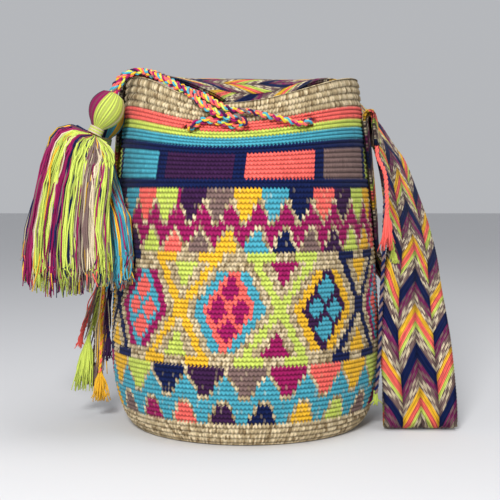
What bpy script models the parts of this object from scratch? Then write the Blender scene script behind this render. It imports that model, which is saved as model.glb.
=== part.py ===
"""Wayuu mochila: a crocheted bucket bag with a woven shoulder strap, a braided drawstring and two tassels.

Metres, +Z up. The bag stands on its round base, whose centre is the origin. The front faces -Y, and the
strap hangs down on the right, at +X.
"""

import math

import bmesh
import bpy
from mathutils import Vector

# Crocheted body
BAG_HEIGHT = 0.322  # floor to the rim at the sides
FOOT_RADIUS = 0.106  # flat part of the base
BELLY_RADIUS = 0.1265  # widest place
BELLY_HEIGHT = 0.070
RIM_RADIUS = 0.108
WALL = 0.0045
BASE_THICKNESS = 0.0050
FRONT_DIP = 0.028  # the front of the rim is pulled down by the drawstring
DIP_FROM = BAG_HEIGHT - 0.0985  # nothing below this height is pulled
DIP_TURN = math.radians(8)  # the dip is a little left of the middle
RIM_LEAN = 0.004  # the mouth leans this far to the left
RIDGE_PITCH = 0.0230  # one ridge stands for a group of crochet rows
RIDGE_RELIEF = 0.0009
BODY_SEGMENTS = 50  # ten colour fields around the rectangle band, five columns each

# Bands of colour, each from the height given to the next one
BANDS = (
    (0.0, "beige"),
    (0.023, "teal"),
    (0.048, "gold"),
    (0.073, "beige"),
    (0.169, "lime"),
    (0.187, "magenta"),
    (0.205, "plum"),
    (0.2235, "navy"),
    (0.2305, "rectangles"),
    (0.2575, "navy"),
    (0.269, "teal"),
    (0.279, "lime"),
    (0.287, "coral"),
    (0.298, "beige"),
)
RECTANGLES = ("plum", "coral", "taupe", "teal", "coral")

# Eyelets and drawstring
EYELET_HEIGHT = BAG_HEIGHT - 0.034
EYELET_WIDTH = 0.0165
EYELET_TALL = 0.0105
EYELET_ANGLES = (-23.0, -128.0, -147.0, -166.0, -190.0, -329.4)  # from the front, clockwise seen from above
CORD_DIAMETER = 0.0070
CORD_GAP = 0.0008  # between the drawstring and the wall it lies along
CROSSING = 0.0085  # half the run in which the drawstring passes through the wall
JOIN_GAP = 0.0003  # between solids that meet

# Woven strap
STRAP_WIDTH = 0.066
STRAP_THICKNESS = 0.0048
STRAP_RELIEF = 0.0006  # the four columns stand proud of the grooves between them
STRAP_CLEARANCE = 0.0008
LEFT_END_ANGLE = -101.0  # where the strap is sewn on, from the front
RIGHT_END_ANGLE = 90.0
LEFT_END_HEIGHT = BAG_HEIGHT - 0.107
RIGHT_END_HEIGHT = BAG_HEIGHT - 0.060
STRAP_STEP = 0.0165
STRAP_BAND = 0.0175  # length of one colour field

# Tassels
HEAD_LENGTH = 0.034
HEAD_WIDTH = 0.030
NECK_RADIUS = 0.0055
TIE_HEIGHT = 0.0070
TIE_THICKNESS = 0.0022
TASSEL_SIDES = 24
FLUTE = 0.05

# Fringe cords twisted from the strap's own ends
FRINGE_DIAMETER = 0.0042

COLOURS = {
    "beige": (0.52, 0.42, 0.28),
    "coral": (0.95, 0.19, 0.15),
    "lime": (0.62, 0.78, 0.13),
    "teal": (0.09, 0.45, 0.62),
    "navy": (0.006, 0.010, 0.055),
    "plum": (0.055, 0.012, 0.075),
    "magenta": (0.40, 0.010, 0.115),
    "taupe": (0.21, 0.14, 0.125),
    "gold": (0.87, 0.50, 0.035),
    "cream": (0.72, 0.60, 0.42),
}


def material(name):
    """A matt yarn of one colour."""
    made = bpy.data.materials.get(name)
    if made is None:
        made = bpy.data.materials.new(name)
        made.use_nodes = True
        made.diffuse_color = (*COLOURS[name], 1.0)
        shader = made.node_tree.nodes["Principled BSDF"]
        shader.inputs["Base Color"].default_value = (*COLOURS[name], 1.0)
        shader.inputs["Roughness"].default_value = 0.9
        shader.inputs["Metallic"].default_value = 0.0
    return made


def new_object(name, verts, faces, slots, face_slots=None):
    """A closed mesh with its faces turned outwards and shaded smooth."""
    mesh = bpy.data.meshes.new(name)
    mesh.from_pydata([tuple(v) for v in verts], [], faces)
    for slot in slots:
        mesh.materials.append(material(slot))
    if face_slots:
        mesh.polygons.foreach_set("material_index", [slots.index(s) for s in face_slots])
    work = bmesh.new()
    work.from_mesh(mesh)
    bmesh.ops.recalc_face_normals(work, faces=work.faces)
    work.to_mesh(mesh)
    work.free()
    mesh.shade_smooth()
    mesh.set_sharp_from_angle(angle=math.radians(50))
    obj = bpy.data.objects.new(name, mesh)
    bpy.context.scene.collection.objects.link(obj)
    return obj


def smooth_through(points, t):
    """The place at t, from 0 to 1, on a smooth curve through the points, each a tuple of numbers."""
    spans = len(points) - 1
    at = min(max(t, 0.0), 1.0) * spans
    i = min(int(at), spans - 1)
    u = at - i
    b, c = points[i], points[i + 1]
    a = points[i - 1] if i else tuple(2 * p - q for p, q in zip(b, c))
    d = points[i + 2] if i + 2 <= spans else tuple(2 * q - p for p, q in zip(b, c))
    return tuple(
        0.5 * (2 * q + (r - p) * u + (2 * p - 5 * q + 4 * r - s) * u**2 + (3 * q - p - 3 * r + s) * u**3)
        for p, q, r, s in zip(a, b, c, d)
    )


# The body's surface

def body_radius(height):
    """Outer radius at a height measured on the undipped bag."""
    if height < BELLY_HEIGHT:
        t = (BELLY_HEIGHT - height) / BELLY_HEIGHT
        return FOOT_RADIUS + (BELLY_RADIUS - FOOT_RADIUS) * (1 - t * t) ** (2 / 3)
    t = (height - BELLY_HEIGHT) / (BAG_HEIGHT - BELLY_HEIGHT)
    return BELLY_RADIUS - (BELLY_RADIUS - RIM_RADIUS) * t**1.45


def dip(angle, height):
    """How far a point is pulled down, at an angle from the front."""
    if height <= DIP_FROM:
        return 0.0
    up = (height - DIP_FROM) / (BAG_HEIGHT - DIP_FROM)
    turned = (angle + DIP_TURN + math.pi) % (2 * math.pi) - math.pi
    narrow = 0.95 + (0.41 * up**2 if turned < 0 else 0.0)
    swing = narrow * turned
    return FRONT_DIP * up**1.2 * math.cos(swing) ** 3 if abs(swing) < math.pi / 2 else 0.0


def on_body(angle, height, out=0.0):
    """A point on the body, or this far outside it, at an angle from the front."""
    radius = body_radius(height) + out
    lean = -RIM_LEAN * height / BAG_HEIGHT
    return Vector((
        lean + radius * math.sin(angle),
        -radius * math.cos(angle),
        height - dip(angle, height),
    ))


# The crocheted body

def outer_heights():
    """Heights of the outer rings: ridge crests and grooves, and every change of colour."""
    ridges = [i * RIDGE_PITCH / 2 for i in range(1, int(2 * BAG_HEIGHT / RIDGE_PITCH))]
    edges = [height for height, _ in BANDS[1:]]
    apart = RIDGE_PITCH / 5
    kept = [h for h in ridges if all(abs(h - e) > apart for e in edges) and h < BAG_HEIGHT - apart]
    return sorted(kept + edges)


def ridge(height):
    """The relief of the crochet ridges at a height."""
    fade = min(1.0, height / RIDGE_PITCH)
    return fade * RIDGE_RELIEF * math.cos(2 * math.pi * height / RIDGE_PITCH)


def band_at(height, column):
    """The colour of a face whose middle is at this height."""
    name = [colour for start, colour in BANDS if start <= height][-1]
    if name == "rectangles":
        block = 5
        return "navy" if column % block == 0 else RECTANGLES[(column // block) % len(RECTANGLES)]
    return name


def crocheted_body():
    """One crocheted pot with a flat base, a dipped rim and ridges along its rows."""
    outer = outer_heights()
    inner_top = BAG_HEIGHT - WALL / 2
    inner = [BASE_THICKNESS + (inner_top - BASE_THICKNESS) * i / 6 for i in range(6, 0, -1)]
    rings = [[Vector((FOOT_RADIUS * share * math.sin(a), -FOOT_RADIUS * share * math.cos(a), 0.0))
              for a in body_angles()] for share in (0.5, 1.0)]
    tops = [0.0, 0.0]
    for height in outer:
        rings.append([on_body(a, height, ridge(height)) for a in body_angles()])
        tops.append(height)
    shoulder = BAG_HEIGHT - WALL / 4
    for height, out in ((shoulder, -WALL / 8), (BAG_HEIGHT, -WALL / 2), (shoulder, -WALL * 0.9)):
        rings.append([on_body(a, height, out) for a in body_angles()])
        tops.append(height)
    for height in inner:
        rings.append([on_body(a, height, -WALL) for a in body_angles()])
        tops.append(BAG_HEIGHT)
    floor_radius = body_radius(BASE_THICKNESS) - WALL
    for flat in (floor_radius, floor_radius * 0.5):
        rings.append([Vector((flat * math.sin(a), -flat * math.cos(a), BASE_THICKNESS))
                      for a in body_angles()])
    tops += [BAG_HEIGHT, BAG_HEIGHT]
    verts, faces, colours = ring_skin(rings, tops)
    slots = sorted(set(colours))
    body = new_object("bag_body", verts, faces, slots, colours)
    cut_eyelets(body)
    return body


def body_angles():
    return [2 * math.pi * i / BODY_SEGMENTS for i in range(BODY_SEGMENTS)]


def ring_skin(rings, tops):
    """Quads between the rings, a fan at each end, and each face's colour."""
    count = len(rings[0])
    verts = [p for ring in rings for p in ring]
    faces, colours = [], []
    for r in range(len(rings) - 1):
        for i in range(count):
            j = (i + 1) % count
            faces.append((r * count + i, r * count + j, (r + 1) * count + j, (r + 1) * count + i))
            colours.append(band_at((tops[r] + tops[r + 1]) / 2, i))
    for ring, height in ((0, 0.0), (len(rings) - 1, BASE_THICKNESS)):
        centre = len(verts)
        verts.append(Vector((0.0, 0.0, height)))
        for i in range(count):
            faces.append((centre, ring * count + i, ring * count + (i + 1) % count))
            colours.append("beige")
    return verts, faces, colours


def eyelet_frame(angle):
    """The middle of an eyelet in the wall, and the wall's outward direction there."""
    middle = on_body(angle, EYELET_HEIGHT, -WALL / 2)
    outward = Vector((math.sin(angle), -math.cos(angle), 0.0))
    return middle, outward


def cut_eyelets(body):
    """Oval holes through the wall, for the drawstring."""
    sides = 12
    verts, faces = [], []
    for degrees in EYELET_ANGLES:
        middle, outward = eyelet_frame(math.radians(degrees))
        across = Vector((0, 0, 1)).cross(outward)
        start = len(verts)
        for depth in (-2.5 * WALL, 2.5 * WALL):
            for k in range(sides):
                a = 2 * math.pi * k / sides
                verts.append(middle + outward * depth + across * (EYELET_WIDTH / 2 * math.cos(a))
                             + Vector((0, 0, EYELET_TALL / 2 * math.sin(a))))
        faces.append(tuple(start + k for k in reversed(range(sides))))
        faces.append(tuple(start + sides + k for k in range(sides)))
        for k in range(sides):
            j = (k + 1) % sides
            faces.append((start + k, start + j, start + sides + j, start + sides + k))
    cutter = new_object("eyelet_cutter", verts, faces, ["coral"])
    cutter.hide_render = True
    cutter.display_type = "WIRE"
    cut = body.modifiers.new("eyelets", "BOOLEAN")
    cut.operation = "DIFFERENCE"
    cut.object = cutter


# Cords

def tube(name, points, diameter, colour):
    """A cord with closed ends along a polyline."""
    curve = bpy.data.curves.new(name, "CURVE")
    curve.dimensions = "3D"
    curve.bevel_depth = diameter / 2
    curve.bevel_resolution = 2
    curve.use_fill_caps = True
    spline = curve.splines.new("POLY")
    spline.points.add(len(points) - 1)
    for place, point in zip(spline.points, points):
        place.co = (*point, 1.0)
    curve.materials.append(material(colour))
    obj = bpy.data.objects.new(name, curve)
    bpy.context.scene.collection.objects.link(obj)
    return obj


def held_drawstring():
    """The stretch of the drawstring that the rim holds, in and out through the eyelets."""
    outside = CORD_DIAMETER / 2 + CORD_GAP + RIDGE_RELIEF
    inside = -WALL - CORD_DIAMETER / 2 - CORD_GAP
    half = CROSSING / body_radius(EYELET_HEIGHT)
    angles = [math.radians(a) for a in EYELET_ANGLES]
    turn_in = ((0.0, 0.1), (0.08, 0.5), (0.42, 0.85), (1.0, 1.0))
    pass_through = ((0.0, 0.0), (0.5, 0.69), (1.0, 1.0))
    points = []
    for k, (start, end) in enumerate(zip(angles, angles[1:])):
        swing = (inside if k % 2 == 0 else outside) + WALL / 2
        leave = turn_in if k == 0 else pass_through
        arrive = turn_in if k == len(angles) - 2 else pass_through[1:]
        for along, deep in leave:
            points.append(on_body(start - half * along, EYELET_HEIGHT, -WALL / 2 + swing * deep))
        first, last = start - half * 1.9, end + half * 1.9
        between = max(1, round((first - last) * body_radius(EYELET_HEIGHT) / (2.6 * CORD_DIAMETER)))
        for i in range(between + 1):
            points.append(on_body(first + (last - first) * i / between, EYELET_HEIGHT, -WALL / 2 + swing))
        for along, deep in reversed(arrive):
            points.append(on_body(end + half * along, EYELET_HEIGHT, -WALL / 2 + swing * deep))
    return tube("drawstring", points, CORD_DIAMETER, "magenta")


# Routes of the drawstring's two free ends from the eyelets to the tassels, each point as the angle from
# the front in degrees, the height on the undipped bag above its rim and the distance outside its surface

LEFT_TAIL = (
    (-22.9, -0.0339, 0.0018), (-21.6, -0.0320, 0.0044), (-19.8, -0.0288, 0.0052),
    (-18.0, -0.0255, 0.0053), (-15.0, -0.0230, 0.0053), (-11.4, -0.0234, 0.0053),
    (-7.5, -0.0260, 0.0053), (-3.9, -0.0290, 0.0053), (-0.9, -0.0299, 0.0062),
    (0.9, -0.0269, 0.0095), (-0.9, -0.0219, 0.0125), (-3.9, -0.0198, 0.0132),
    (-6.9, -0.0170, 0.0132), (-10.5, -0.0131, 0.0125), (-14.1, -0.0074, 0.0110),
    (-17.7, -0.0022, 0.0090), (-21.5, 0.0025, 0.0050), (-25.5, 0.0050, 0.0005),
    (-30.0, 0.0050, -0.0018), (-36.0, 0.0048, -0.0020), (-43.0, 0.0048, -0.0020),
    (-50.0, 0.0048, -0.0015), (-56.0, 0.0050, -0.0005), (-58.8, 0.0048, 0.0040),
    (-60.2, 0.0015, 0.0100), (-60.7, -0.0055, 0.0160), (-60.9, -0.0142, 0.0201),
)
RIGHT_TAIL = (
    (30.5, -0.0340, 0.0018), (29.2, -0.0342, 0.0044), (27.2, -0.0348, 0.0052),
    (24.0, -0.0345, 0.0053), (20.4, -0.0305, 0.0053), (16.5, -0.0265, 0.0053),
    (12.6, -0.0230, 0.0054), (8.4, -0.0185, 0.0060), (4.2, -0.0145, 0.0072),
    (0.6, -0.0122, 0.0087), (-2.7, -0.0112, 0.0095), (-5.7, -0.0085, 0.0095),
    (-8.4, -0.0045, 0.0088), (-11.7, 0.0004, 0.0058), (-15.5, 0.0052, 0.0015),
    (-19.5, 0.0070, -0.0040), (-24.0, 0.0062, -0.0085), (-30.0, 0.0048, -0.0100),
    (-37.0, 0.0046, -0.0100), (-45.0, 0.0046, -0.0100), (-53.0, 0.0050, -0.0094),
    (-60.0, 0.0056, -0.0076), (-66.0, 0.0060, -0.0030), (-70.5, 0.0052, 0.0015),
    (-73.8, 0.0025, 0.0065), (-75.3, -0.0040, 0.0110), (-75.9, -0.0120, 0.0138),
    (-76.0, -0.0203, 0.0151),
)


def free_end(name, eyelet, plan, spacing):
    """One free end of the drawstring, read from a smooth curve through its route."""
    start = on_body(math.radians(eyelet), EYELET_HEIGHT, -WALL / 2 + 2 * JOIN_GAP)
    route = [tuple(start)] + [tuple(on_body(math.radians(a), BAG_HEIGHT + h, out)) for a, h, out in plan]
    length = sum((Vector(b) - Vector(a)).length for a, b in zip(route, route[1:]))
    count = round(length / spacing)
    points = [smooth_through(route, i / count) for i in range(count + 1)]
    tube(name, points, CORD_DIAMETER, "magenta")
    last, before = Vector(points[-1]), Vector(points[-2])
    return last, (last - before).normalized()


# Tassels: a head, a tied neck and a skirt of cut yarn, all one bundle

LEFT_TASSEL = {
    "name": "tassel_left",
    "axis": (-0.44, -0.05, -0.89),
    "colour": "lime",
    "skirt": (  # centre, half width, half depth, turn of the wide side and its tilt in degrees
        ((-0.1415, -0.0668, 0.2672), 0.0270, 0.0125, -36.0, 27.0),
        ((-0.1450, -0.0690, 0.2575), 0.0370, 0.0160, -36.0, 20.0),
        ((-0.1490, -0.0715, 0.2430), 0.0395, 0.0172, -36.0, 12.0),
        ((-0.1530, -0.0740, 0.2220), 0.0430, 0.0178, -36.0, 5.0),
        ((-0.1580, -0.0765, 0.1900), 0.0475, 0.0182, -36.0, 0.0),
        ((-0.1595, -0.0770, 0.1580), 0.0520, 0.0188, -36.0, 0.0),
        ((-0.1595, -0.0770, 0.1400), 0.0500, 0.0180, -36.0, 0.0),
        ((-0.1585, -0.0770, 0.1340), 0.0380, 0.0130, -36.0, 0.0),
    ),
}
RIGHT_TASSEL = {
    "name": "tassel_right",
    "axis": (-0.15, -0.03, -0.98),
    "colour": "teal",
    "skirt": (
        ((-0.1310, -0.0390, 0.2500), 0.0095, 0.0082, -54.0, 0.0),
        ((-0.1295, -0.0450, 0.2330), 0.0120, 0.0090, -54.0, 0.0),
        ((-0.1262, -0.0560, 0.2180), 0.0200, 0.0095, -56.0, 0.0),
        ((-0.1190, -0.0650, 0.1950), 0.0250, 0.0090, -57.0, 0.0),
        ((-0.1165, -0.0694, 0.1650), 0.0280, 0.0086, -57.0, 0.0),
        ((-0.1162, -0.0700, 0.1460), 0.0280, 0.0084, -57.0, 0.0),
        ((-0.1162, -0.0700, 0.1380), 0.0200, 0.0060, -57.0, 0.0),
    ),
}


def tassel(plan, cord_end, cord_way):
    """A yarn bundle on a cord's end, from its head through the neck to the cut ends, and its neck's tie."""
    axis = Vector(plan["axis"]).normalized()
    side = Vector((0, 1, 0)).cross(axis).normalized()
    front = axis.cross(side)
    top = cord_end + cord_way * JOIN_GAP
    around = [2 * math.pi * k / TASSEL_SIDES for k in range(TASSEL_SIDES)]
    square = side - cord_way * side.dot(cord_way)
    square.normalize()
    level = cord_way.cross(square)
    seat = CORD_DIAMETER * 0.55
    rings = [[top + square * (seat * math.cos(a)) + level * (seat * math.sin(a)) for a in around]]
    spokes = [side * math.cos(a) + front * math.sin(a) for a in around]
    for t in (0.14, 0.32, 0.55, 0.80):
        radius = HEAD_WIDTH / 2 * math.sin(math.pi * t) ** 0.6
        centre = top + axis * (HEAD_LENGTH * t)
        rings.append([centre + spoke * radius for spoke in spokes])
    for along in (0.0, TIE_HEIGHT):
        centre = top + axis * (HEAD_LENGTH + along)
        rings.append([centre + spoke * NECK_RADIUS for spoke in spokes])
    for middle, wide, deep, turn, tilt in plan["skirt"]:
        centre = Vector(middle) + Vector((0.0, 0.0, BAG_HEIGHT - 0.322))
        a, b = math.radians(turn), math.radians(tilt)
        u = Vector((math.cos(a) * math.cos(b), math.sin(a) * math.cos(b), -math.sin(b)))
        v = Vector((-math.sin(a), math.cos(a), 0.0))
        ring = []
        for k, a in enumerate(around):
            flute = 1 + (FLUTE if k % 2 else -FLUTE)
            ring.append(centre + u * (wide * flute * math.cos(a)) + v * (-deep * flute * math.sin(a)))
        rings.append(ring)
    align_rings(rings)
    verts, faces = closed_loft(rings, top, None)
    bundle = new_object(plan["name"], verts, faces, [plan["colour"]])
    tie = neck_tie(plan["name"] + "_tie", top + axis * (HEAD_LENGTH + TIE_HEIGHT / 2), axis, side, front)
    return bundle, tie


def align_rings(rings):
    """Turn each ring so that its first point is the nearest to the first point of the ring before."""
    for before, ring in zip(rings, rings[1:]):
        best = min(range(len(ring)), key=lambda k: sum(
            (ring[(k + i) % len(ring)] - before[i]).length for i in range(0, len(ring), 6)))
        ring[:] = ring[best:] + ring[:best]


def closed_loft(rings, first_point, last_point):
    """A skin over the rings, closed at each end with a fan."""
    count = len(rings[0])
    verts = [p for ring in rings for p in ring]
    faces = []
    for r in range(len(rings) - 1):
        for i in range(count):
            j = (i + 1) % count
            faces.append((r * count + i, r * count + j, (r + 1) * count + j, (r + 1) * count + i))
    for ring, point in ((0, first_point), (len(rings) - 1, last_point)):
        centre = len(verts)
        middle = sum(rings[ring], Vector()) / count
        verts.append(middle if point is None else Vector(point))
        for i in range(count):
            faces.append((centre, ring * count + i, ring * count + (i + 1) % count))
    return verts, faces


def neck_tie(name, centre, axis, side, front):
    """A short sleeve of wound thread round the neck."""
    inner = NECK_RADIUS + JOIN_GAP
    outer = inner + TIE_THICKNESS
    half = TIE_HEIGHT / 2 - JOIN_GAP
    section = ((inner, -half), (outer * 0.93, -half), (outer, 0.0), (outer * 0.93, half), (inner, half))
    verts, faces = [], []
    sides = 20
    for k in range(sides):
        a = 2 * math.pi * k / sides
        for radius, along in section:
            spoke = side * math.cos(a) + front * math.sin(a)
            verts.append(centre + axis * along + spoke * radius)
    n = len(section)
    for k in range(sides):
        for i in range(n):
            a, b = k * n + i, k * n + (i + 1) % n
            c, d = (k + 1) % sides * n + (i + 1) % n, (k + 1) % sides * n + i
            faces.append((a, b, c, d))
    return new_object(name, verts, faces, ["cream"])


# The strap: centre point, direction that its outer face looks in, and sideways curl in 1/m

OVER_MOUTH = (
    ((-0.1133, 0.0222, 0.3260), (-0.70, 0.08, 0.70), 3.0),
    ((-0.1020, 0.0228, 0.3302), (-0.05, 0.0, 1.0), 2.0),
    ((-0.0850, 0.0290, 0.3292), (0.06, -0.08, 0.99), 3.0),
    ((-0.0620, 0.0475, 0.3275), (0.05, -0.25, 0.96), 6.0),
    ((-0.0330, 0.0710, 0.3262), (0.0, -0.45, 0.88), 14.0),
    ((0.0000, 0.0850, 0.3262), (0.0, -0.52, 0.85), 19.0),
    ((0.0290, 0.0885, 0.3275), (0.0, -0.40, 0.91), 15.0),
    ((0.0540, 0.0880, 0.3302), (0.05, -0.18, 0.98), 7.0),
    ((0.0760, 0.0865, 0.3312), (0.20, -0.05, 0.98), 3.0),
    ((0.0930, 0.0850, 0.3275), (0.60, -0.06, 0.80), 1.0),
    ((0.1050, 0.0832, 0.3165), (0.86, -0.16, 0.48), 0.0),
)
HANGING = (
    ((0.1140, 0.0815, 0.3030), (0.95, -0.26, 0.15), 0.0),
    ((0.1225, 0.0800, 0.2910), (0.93, -0.34, 0.10), 0.0),
    ((0.1315, 0.0770, 0.2780), (0.90, -0.42, 0.10), 0.0),
    ((0.1400, 0.0710, 0.2635), (0.86, -0.50, 0.08), 0.0),
    ((0.1465, 0.0630, 0.2490), (0.79, -0.61, 0.08), 0.0),
    ((0.1530, 0.0450, 0.2200), (0.73, -0.69, 0.05), 0.0),
    ((0.1575, 0.0260, 0.1890), (0.64, -0.77, 0.05), 0.0),
    ((0.1595, 0.0060, 0.1600), (0.545, -0.84, 0.05), 0.0),
    ((0.1562, -0.0215, 0.1180), (0.318, -0.948, 0.05), 0.0),
    ((0.1555, -0.0430, 0.0750), (0.08, -0.995, 0.05), 0.0),
    ((0.1590, -0.0478, 0.0300), (0.0, -1.0, 0.02), 0.0),
    ((0.1595, -0.0500, 0.0092), (0.0, -1.0, 0.0), 0.0),
    ((0.1595, -0.0484, 0.0050), (0.0, -0.7, -0.7), 0.0),
    ((0.1595, -0.0445, 0.0034), (0.0, 0.0, -1.0), 0.0),
    ((0.1595, -0.0406, 0.0050), (0.0, 0.7, -0.7), 0.0),
    ((0.1595, -0.0390, 0.0092), (0.0, 1.0, 0.0), 0.0),
    ((0.1585, -0.0310, 0.0300), (-0.20, 0.97, -0.2), 0.0),
    ((0.1555, -0.0080, 0.0750), (-0.72, 0.69, -0.1), 0.0),
    ((0.1440, 0.0140, 0.1180), (-0.985, 0.17, 0.0), 0.0),
    ((0.1335, 0.0195, 0.1400), (-1.0, 0.0, 0.0), -2.5),
)


def strap_stations():
    """Stations from the left sewn end, over the mouth, down the right side and back up to the right end."""
    lift = STRAP_THICKNESS / 2 + STRAP_CLEARANCE + RIDGE_RELIEF
    fold = STRAP_THICKNESS * 2 / 3 + STRAP_CLEARANCE
    left, right = math.radians(LEFT_END_ANGLE), math.radians(RIGHT_END_ANGLE)
    hug = 1 / (BELLY_RADIUS + lift)
    stations = []
    for height in (LEFT_END_HEIGHT, LEFT_END_HEIGHT + 0.035, LEFT_END_HEIGHT + 0.070, BAG_HEIGHT - 0.008):
        stations.append((on_body(left, height, lift), (math.sin(left), -math.cos(left), 0.0), hug))
    rise = BAG_HEIGHT / 0.322
    stations += [(Vector((x, y, z * rise)), n, c) for (x, y, z), n, c in OVER_MOUTH + HANGING]
    for degrees, below in ((99.0, 0.157), (95.0, 0.122), (92.0, 0.088)):
        a = math.radians(degrees)
        stations.append((on_body(a, BAG_HEIGHT - below, lift), (-math.sin(a), math.cos(a), 0.0), -hug))
    outward = (math.sin(right), -math.cos(right), 0.0)
    inward = tuple(-c for c in outward)
    top = BAG_HEIGHT - 0.030
    stations.append((on_body(right, top - 0.028, lift), inward, -hug))
    stations.append((on_body(right, top - 0.005, lift), inward, -hug))
    stations.append((on_body(right, top, lift + fold), (0.0, 0.0, 1.0), 0.0))
    stations.append((on_body(right, top - 0.005, lift + 2 * fold), outward, hug))
    stations.append((on_body(right, top - 0.016, lift + 2 * fold), outward, hug))
    stations.append((on_body(right, RIGHT_END_HEIGHT, lift + 2 * fold), outward, hug))
    return stations


def strap_frames():
    """Frames along the strap: place, width direction, outward direction, curl and length so far."""
    rows = [(*p, *n, c) for p, n, c in strap_stations()]
    fine = 24 * (len(rows) - 1)
    dense = [smooth_through(rows, i / fine) for i in range(fine + 1)]
    frames, length, last_kept, last_way = [], 0.0, None, None
    for i, row in enumerate(dense):
        place = Vector(row[:3])
        before = Vector(dense[max(0, i - 1)][:3])
        after = Vector(dense[min(fine, i + 1)][:3])
        length += (place - before).length
        way = (after - before).normalized()
        if last_kept is not None and i < fine:
            turned = way.angle(last_way)
            if length - last_kept < STRAP_STEP and turned < math.radians(25):
                continue
            if length - last_kept < 0.0022:
                continue
        face = Vector(row[3:6])
        across = face.cross(way).normalized()
        face = way.cross(across)
        frames.append((place, across, face, row[6], length))
        last_kept, last_way = length, way
    return frames


def across_strap(frame, off):
    """A place across the middle of the strap's thickness, and the outward direction there."""
    place, across, face, curl, _ = frame
    turn = curl * off
    along = math.sin(turn) / curl if abs(curl) > 0.01 else off
    back = (1 - math.cos(turn)) / curl if abs(curl) > 0.01 else 0.0
    return place + across * along - face * back, face * math.cos(turn) + across * math.sin(turn)


def strap():
    """A woven band with four raised columns, as one closed solid."""
    columns = 4
    places = [(k / (2 * columns) - 0.5) * STRAP_WIDTH for k in range(2 * columns + 1)]
    thick = []
    for k in range(len(places)):
        edge = k in (0, len(places) - 1)
        half = STRAP_THICKNESS / 2
        thick.append(half * 0.55 if edge else half - (STRAP_RELIEF if k % 2 == 0 else 0.0))
    frames = strap_frames()
    rings, lengths = [], []
    for frame in frames:
        ring = []
        for side in (1, -1):
            order = range(len(places)) if side == 1 else reversed(range(len(places)))
            for k in order:
                middle, normal = across_strap(frame, places[k])
                ring.append(middle + normal * (side * thick[k]))
        rings.append(ring)
        lengths.append(frame[4])
    count = len(rings[0])
    verts = [p for ring in rings for p in ring]
    faces, colours = [], []
    cycle = ("navy", "taupe", "coral", "taupe")
    for r in range(len(rings) - 1):
        for i in range(count):
            j = (i + 1) % count
            faces.append((r * count + i, r * count + j, (r + 1) * count + j, (r + 1) * count + i))
            k = i if i < len(places) else 2 * len(places) - 1 - i
            outer = abs(k - columns + 0.5) > columns / 2
            colours.append(cycle[(int(lengths[r] / STRAP_BAND) + (2 if outer else 0)) % len(cycle)])
    half = len(places)
    for ring, flip in ((0, False), (len(rings) - 1, True)):
        for k in range(half - 1):
            a, b = ring * count + k, ring * count + k + 1
            c, d = ring * count + count - 2 - k, ring * count + count - 1 - k
            faces.append((a, b, c, d) if flip else (d, c, b, a))
            colours.append("taupe")
    new_object("strap", verts, faces, sorted(set(colours)), colours)
    return frames[0], frames[-1]


# Fringe cords: name, place along the strap's width, and the route below it

LEFT_FRINGE = (
    ("plum", -0.0270, ((-0.1285, -0.0060, 0.1750), (-0.1305, -0.0105, 0.1200), (-0.1312, -0.0125, 0.0800))),
    ("gold", -0.0165, ((-0.1310, 0.0020, 0.1750), (-0.1365, -0.0020, 0.1150), (-0.1405, -0.0040, 0.0450))),
    ("taupe_1", -0.0060, ((-0.1325, 0.0120, 0.1750), (-0.1390, 0.0095, 0.1150), (-0.1440, 0.0065, 0.0530))),
    ("lime", 0.0045, ((-0.1345, 0.0215, 0.1750), (-0.1450, 0.0165, 0.1150), (-0.1530, 0.0075, 0.0760))),
    ("taupe_2", 0.0150, ((-0.1335, 0.0320, 0.1750), (-0.1420, 0.0275, 0.1150), (-0.1505, 0.0190, 0.0550))),
    ("coral", 0.0255, ((-0.1335, 0.0410, 0.1750), (-0.1480, 0.0350, 0.1200), (-0.1620, 0.0260, 0.0800))),
)
RIGHT_FRINGE = (
    ("lime_1", -0.0220, ((0.1284, -0.0245, 0.2350), (0.1278, -0.0275, 0.1980), (0.1262, -0.0330, 0.1550),
                         (0.1225, -0.0450, 0.1080), (0.1208, -0.0530, 0.0720), (0.1185, -0.0465, 0.0340))),
    ("coral", -0.0298, ((0.1268, -0.0350, 0.2350), (0.1282, -0.0385, 0.2150), (0.1285, -0.0385, 0.1980))),
    ("lime_2", -0.0080, ((0.1302, -0.0105, 0.2350), (0.1325, -0.0160, 0.1950), (0.1372, -0.0195, 0.1630))),
)


def fringe_cord(name, route):
    """One twisted cord along a smooth curve through its route."""
    length = sum((Vector(b) - Vector(a)).length for a, b in zip(route, route[1:]))
    count = max(6, round(length / (3 * FRINGE_DIAMETER)))
    points = [smooth_through(route, i / count) for i in range(count + 1)]
    return tube("fringe_" + name, points, FRINGE_DIAMETER, name.split("_")[1])


def fringe(side, plans, end_frame, way_out):
    """Twisted cords that hang from a sewn end of the strap."""
    along = end_frame[1].cross(end_frame[2]) * way_out
    for name, off, route in plans:
        start = across_strap(end_frame, off)[0] + along * JOIN_GAP
        straight = [tuple(start + along * (step * FRINGE_DIAMETER)) for step in (0.0, 1.3, 2.6)]
        fringe_cord(f"{side}_{name}", [*straight, *route])


def main():
    for obj in list(bpy.data.objects):
        bpy.data.objects.remove(obj)
    crocheted_body()
    left_end, right_end = strap()
    held_drawstring()
    tassel(LEFT_TASSEL, *free_end("drawstring_left_tail", EYELET_ANGLES[0], LEFT_TAIL, 2 * CORD_DIAMETER))
    tassel(RIGHT_TASSEL, *free_end("drawstring_right_tail", EYELET_ANGLES[-1], RIGHT_TAIL, 2 * CORD_DIAMETER))
    fringe("left", LEFT_FRINGE, left_end, -1)
    fringe("right", RIGHT_FRINGE, right_end, 1)


main()
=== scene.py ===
"""Looks of the crocheted shoulder bag: stitches, woven strap, braided drawstring, tassels and fringes."""

import random
from math import atan2, copysign, cos, floor, hypot, pi, radians, sin, sqrt

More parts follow.
